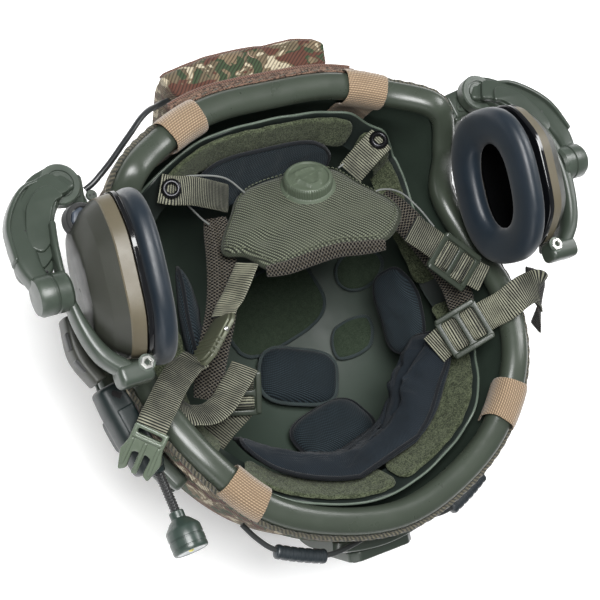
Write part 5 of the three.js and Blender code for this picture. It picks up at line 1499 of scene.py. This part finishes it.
# Ear cups: eight-sided moulded shells with a lighter band and a black bezel, and a soft sealing cushion.
# They hang in sprung arms that are hinged on brackets behind the ears.
CUP = {"long": 44, "tall": 33.6, "front": 0.9, "sides": 240, "power": 14, "diagonal": 1.06}
CUP_PLACES = {
    "right": {"sign": 1, "x": 118, "y": 27, "z": 163, "tilt": 6, "toe": -1, "roll": 11},
    "left": {"sign": -1, "x": 118.2, "y": 27.4, "z": 165.4, "tilt": 6.2, "toe": 3.4, "roll": 10},
}
BAND_ROWS = [(3.3, 5, 5), (3.3, 1.2, 1.2), (3.7, 0.6, 0.6), (10.2, 1.6, 1.6), (10.8, 2.2, 2.2), (10.8, 6, 6)]
DOME_ROWS = [
    (10.2, 6, 6), (10.2, 2.6, 2.6), (10.8, 2.3, 2.3), (11.2, 2.6, 2.6), (17.6, 6.6, 5.6), (18.4, 7.4, 6.3),
    (23.9, 14.6, 12.6), (24.8, 16.2, 14.2), (25, 18.5, 16.5), (25.2, 30, 24), (25.3, 43.9, 34.9),
]
BEZEL_ROWS = [(0.3, 0, 0), (0, 0.4, 0.4), (0, 7, 7), (3, 7, 7), (3, 0.3, 0.3), (2.7, -0.2, -0.2),
              (0.9, -0.3, -0.3)]
CUSHION = {"mid_in": 9.4, "half_in": 10.2, "mid_out": -6.7, "half_out": 6.3, "sides": 40, "power": 2.5,
           "tall_share": 0.93, "tall_clear": 1.2}
LINING_ROWS = [(3.2, 12, 12), (15, 12, 12), (15, 43.9, 34.9), (14, 43.9, 34.9), (14, 13, 13), (3.2, 13, 13)]
SCREW = [(0, -0.6), (2.9, -0.6), (2.9, 0.5), (2.5, 0.9), (0, 0.9)]
SCREW_HOLE = [(0, 0.85), (0.6, 0.85), (0.6, 1.0), (0, 1.0)]
KNOB_PLACE = (133.5, 61.5, 169.5)
CAP = [(0, 0), (10.4, 0), (11, 0.6), (11, 6.4), (10.3, 7.2), (7.4, 7.3), (7.1, 6.7), (6.4, 6.7), (6.1, 7.3),
       (0, 7.3)]
KNUCKLE = [(0, 0), (8.6, 0), (10, 1.6), (10, 7.4), (9.4, 7.8), (9.4, 8.4), (10, 8.8), (10, 15.2), (8.8, 17),
           (3, 17.3), (0, 17.3)]
HEX_NUT = [(1.6, -0.3), (3.7, -0.3), (3.7, 0.9), (3.3, 1.3), (2.0, 1.3), (1.6, 0.9)]
WASHER = [(1.2, -0.3), (4.3, -0.3), (4.3, 0.3), (1.2, 0.3)]
KNOB = [(0, -4), (5.6, -4), (6, -3.4), (6, 1.8), (5.4, 2.6), (3.8, 3), (0, 3.1)]
ARM_BODY = {
    "place": (0, 90, 147), "normal": (0, 0.3, 1), "stretch": 1.044, "thick": 9,
    "outline": [(133, 7), (146, 3), (160, -10), (168.5, -32), (171, -48), (162, -56), (151.5, -48),
                (149, -38), (141, -20), (133, -10), (124, -8)],
    "steps": [(0.82, 5.4), (0.58, 7.2)],
}
YOKE_SIZES = {
    "left": [(1.8, 4.4), (1.8, 4.6), (1.9, 5), (2.6, 5.4), (3.6, 5.8), (4.4, 6), (4.6, 5.8)],
    "right": [(2.6, 5), (3.6, 6.4), (4.2, 7.4), (4.4, 7.6), (4.2, 7.2), (4.0, 6.4), (3.8, 6)],
}

cup_look = satin_look("cup_shell", (0.165, 0.17, 0.145), 0.45, 0.2, 0.05)
tan_look = satin_look("cup_band", (0.315, 0.29, 0.23), 0.45, 0.2, 0.05)
bezel_look = satin_look("black_gloss", (0.035, 0.037, 0.045), 0.1, 0.2, 0.004)
cushion_look = rubber_look("cushion_skin", (0.07, 0.11, 0.145), 0.38, 0.035)
cushion_look.shader.inputs["Specular IOR Level"].default_value = 0.4
# The lining deep in each cup is painted near black, with almost no reflection: painted shade inside the cup.
foam_shade_look = rubber_look("cup_foam", (0.010, 0.014, 0.018), 0.95, 0.2)
foam_shade_look.shader.inputs["Specular IOR Level"].default_value = 0.05
foam_shade_look.shader.inputs["Sheen Weight"].default_value = 0
knob_look = satin_look("knob", (0.20, 0.225, 0.26), 0.4, 0.4)
# Slots, grooves, the slots in screw heads and the ring round each knob are painted near black: painted shade in
# recesses.
recess_shade_look = rubber_look("painted_recess_shade", (0.055, 0.06, 0.06), 0.6, 0.02)


def octagon(angle):
    """Reach of a rounded octagon at an angle, in shares of its half width: the power mean of its four
    side pairs."""
    pairs = [np.abs(np.cos(angle - k * np.pi / 4)) / (CUP["diagonal"] if k % 2 else 1) for k in range(4)]
    return sum(pair ** CUP["power"] for pair in pairs) ** (-1 / CUP["power"])


cup_angle = np.linspace(0, 2 * np.pi, CUP["sides"], endpoint=False)
octagon_ring = np.stack([np.cos(cup_angle), np.sin(cup_angle)], -1) * octagon(cup_angle)[:, None]
octagon_ring[:, 0] *= np.where(octagon_ring[:, 0] < 0, CUP["front"], 1)
for name, cup in CUP_PLACES.items():
    side, tilt, toe, roll = cup["sign"], *np.radians([cup["tilt"], cup["toe"], cup["roll"]])
    out = np.array([side * np.cos(tilt) * np.cos(toe), np.sin(toe) * np.cos(tilt), -np.sin(tilt)])
    level = unit(np.array([0, 1, 0]) - out * out[1])
    upright = np.cross(out, level) * side
    nape, top = [level * np.cos(roll) + upright * np.sin(roll), upright * np.cos(roll) - level * np.sin(roll)]
    middle = np.array([side * cup["x"], cup["y"], cup["z"]])

    def cup_rings(rows, ring=octagon_ring, middle=middle, out=out, nape=nape, top=top):
        rows = np.array(rows, float)
        long = (CUP["long"] - rows[:, 1]) * ring[:, None, 0]
        tall = (CUP["tall"] - rows[:, 2]) * ring[:, None, 1]
        return middle + out * rows[:, :1] + nape * long[..., None] + top * tall[..., None]

    put(f"cup_band_{name}", cup_rings(BAND_ROWS), tan_look, "cup_plastic", [f"cup_shell_{name}"],
        f"cup_{name}", loop=True, crease=24)
    put(f"cup_dome_{name}", cup_rings(DOME_ROWS), cup_look, "cup_plastic", [f"cup_shell_{name}"],
        f"cup_{name}", around=False, loop=True, crease=24)
    put(f"cup_rim_{name}", cup_rings(BEZEL_ROWS), bezel_look, "bezel_gloss", [f"cup_bezel_{name}"],
        f"cup_{name}", loop=True, crease=30)
    turn = np.arange(CUSHION["sides"]) / CUSHION["sides"] * 2 * np.pi
    puff_in = np.sign(np.cos(turn)) * np.abs(np.cos(turn)) ** 0.85
    puff_out = np.sign(np.sin(turn)) * np.abs(np.sin(turn)) ** 0.8
    inset = CUSHION["mid_in"] - CUSHION["half_in"] * puff_in
    rows = np.stack([CUSHION["mid_out"] + CUSHION["half_out"] * puff_out, inset,
                     inset * CUSHION["tall_share"] + CUSHION["tall_clear"]], -1)
    cushion_ring = rounded(CUSHION["power"], 160)
    cushion = put(f"cushion_seal_{name}", cup_rings(rows, cushion_ring), cushion_look, "cushion_skin",
                  [f"ear_cushion_{name}"], f"cup_{name}", loop=True, crease=80)
    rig.padded(cushion, fill=0.95)
    # A lining set into each cup's hollow as a near-black sheet of painted shade.
    put(f"cup_lining_shade_{name}", cup_rings(LINING_ROWS, cushion_ring), foam_shade_look, "cushion_skin", [],
        f"cup_{name}", around=False, loop=True)

    arm, slot = f"arm_{name}", "hardware_plastic"

    def at(x, y, z, side=side):
        return (side * x, y, z)

    turned(f"arm_cap_{name}", CAP, at(132, 86.5, 144.2), (0, 0, 1), hardware_look, slot,
           [f"headset_arm_{name}"], arm, sides=72)
    bar(f"arm_arch_{name}", [at(133, 86, 148), at(149, 83, 151), at(162, 66, 158), at(165, 47, 164),
                             at(162, 31, 168)],
        (0, 0, 1), [(4.5, 3), (6.3, 3.9), (7, 4.8), (6.3, 5.6), (4.5, 6.5)], hardware_look, slot, [], arm,
        power=4, ends=1.5, steps=70)
    bar(f"arm_lip_{name}", [at(143, 90, 150), at(153.5, 86.5, 153), at(167.6, 69, 160), at(171, 48, 166)],
        (0, 0, 1), [(1.3, 4.2), (1.6, 4.8), (1.3, 4.6)], hardware_look, slot, [], arm, power=3, ends=1.2,
        steps=70)
    turned(f"arm_knuckle_{name}", KNUCKLE, at(151, 29, 170), (side, 0, 0),
           hardware_look, slot, [], arm, sides=72)
    bar(f"arm_knuckle_slot_{name}", [at(166.4, 22.5, 170), at(166.4, 35.5, 170)], (1, 0, 0), [(2.2, 1.4)],
        recess_shade_look, slot, [], arm, power=3, ends=1.2)
    bar(f"arm_yoke_{name}", [at(147, 64, 163), at(150.5, 50, 167), at(152.5, 30, 169), at(150.5, 10, 169),
                             at(145, -6, 169), at(135, -17, 169)], (0, 0, 1), YOKE_SIZES[name], hardware_look,
        slot, [], arm, power=2.8, steps=90, ends=1)
    bar(f"arm_front_block_{name}", [at(123.6, -18.6, 169), at(142, -19, 169)], (0, 0, 1), [(5.8, 6.6)],
        hardware_look, slot, [], arm, power=3.6, ends=3)
    turned(f"arm_washer_{name}", WASHER, at(127, -15.9, 175.4), (0, 0, 1), hardware_look, slot, [], arm,
           sides=48)
    turned(f"arm_nut_{name}", HEX_NUT, at(127, -15.9, 175.8), (0, 0, 1), rivet_look, slot, [], arm, sides=6,
           crease=20)
    bar(f"cup_side_strip_{name}", [at(148, 20, 146), at(149, 0, 146), at(143.5, -15.5, 146)], (0, 0, 1),
        [(4.2, 7), (4.6, 8), (4, 7)], cup_look, "cup_plastic", [], f"cup_{name}", power=4)
    for slot_at, (low, high) in enumerate((((153, 12, 150), (153.4, 3, 150)),
                                           ((152.6, -2, 150), (149.5, -9, 150)))):
        bar(f"cup_side_slot_{slot_at}_{name}", [at(*low), at(*high)], (0, 0, 1), [(1.2, 3)], recess_shade_look,
            "cup_plastic", [], f"cup_{name}", power=3, ends=0.7)
    body_axes = axes_from((1, 0, 0), ARM_BODY["normal"])
    outline = np.array(ARM_BODY["outline"], float) * (side, 1) @ np.array([(1, 0), (0, ARM_BODY["stretch"])])
    plate(f"arm_body_{name}", outline[::side], ARM_BODY["thick"], np.array(ARM_BODY["place"]), body_axes,
          hardware_look, slot, [], arm, bevel=1.6, corner=5)
    for step, (share, rise) in enumerate(ARM_BODY["steps"]):
        ridge = outline.mean(0) + (outline - outline.mean(0)) * share
        plate(f"arm_step_{step}_{name}", ridge[::side], 3.6,
              np.array(ARM_BODY["place"]) + body_axes[2] * rise,
              body_axes, hardware_look, slot, [], arm, bevel=0.7, corner=4)
    turned(f"arm_knob_{name}", KNOB, at(*KNOB_PLACE), (side * -0.1, -0.1, 1), knob_look, slot, [], arm,
           sides=8, crease=20)
    # The ring round the knob takes the painted recess shade.
    turned(f"arm_knob_ring_{name}", [(6.2, -5), (8.6, -5), (8.6, 1.2), (8.1, 1.8), (6.6, 1.8), (6.2, 1.2)],
           at(*KNOB_PLACE), (side * -0.1, -0.1, 1), recess_shade_look, slot, [], arm, sides=48)
    for tooth in range(5):
        bar(f"arm_tooth_{tooth}_{name}", [at(158.5 - 1.2 * tooth, 44 - 3.4 * tooth, 163 + tooth),
                                          at(165.5 - 1.2 * tooth, 46 - 3.4 * tooth, 163.6 + tooth)],
            (0, 0, 1), [(1.1, 4.2)], recess_shade_look, slot, [], arm, power=3, ends=0.7, steps=12, sides=16)
    for screw, spot in enumerate(((149, 74.5, 157.6), (161, 61.5, 163.2))):
        turned(f"arm_screw_{screw}_{name}", SCREW, at(*spot), (side * 0.12, 0.1, 1), screw_look, slot, [],
               arm, sides=32)
        for hole, shift in enumerate((-1.1, 1.1)):
            turned(f"arm_screw_{screw}_hole_{hole}_{name}", SCREW_HOLE,
                   np.array(at(*spot)) + (shift, 0, 0), (side * 0.12, 0.1, 1), recess_shade_look, slot, [], arm,
                   sides=16)
    bar(f"bracket_reach_{name}", [at(117.5, 84, 137.5), at(133, 86.5, 139.5)], (0, 0, 1), [(8.5, 4.2)],
                  hardware_look, slot, [f"arm_bracket_{name}"], power=4, ends=1.4)
    bar(f"bracket_leg_{name}", [at(119.5, 76, 122), at(119.5, 83, 138)], (1, 0, 0), [(8, 3)], hardware_look,
        slot, power=4, ends=1)
    for screw, spot in enumerate(((114.5, 79.5, 142.0), (122.5, 82.5, 142.4))):
        turned(f"bracket_screw_{screw}_{name}", SCREW, at(*spot), (0, 0, 1), hardware_look, slot, sides=32)
        for hole, shift in enumerate((-1.1, 1.1)):
            turned(f"bracket_screw_{screw}_hole_{hole}_{name}", SCREW_HOLE,
                   np.array(at(*spot)) + (shift, 0, 0), (0, 0, 1), recess_shade_look, slot, sides=16)

with open("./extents.json", "w") as sizes:
    json.dump({"cad_box": cad_box, "visual_box": [list(corner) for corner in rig.bounds()]}, sizes)
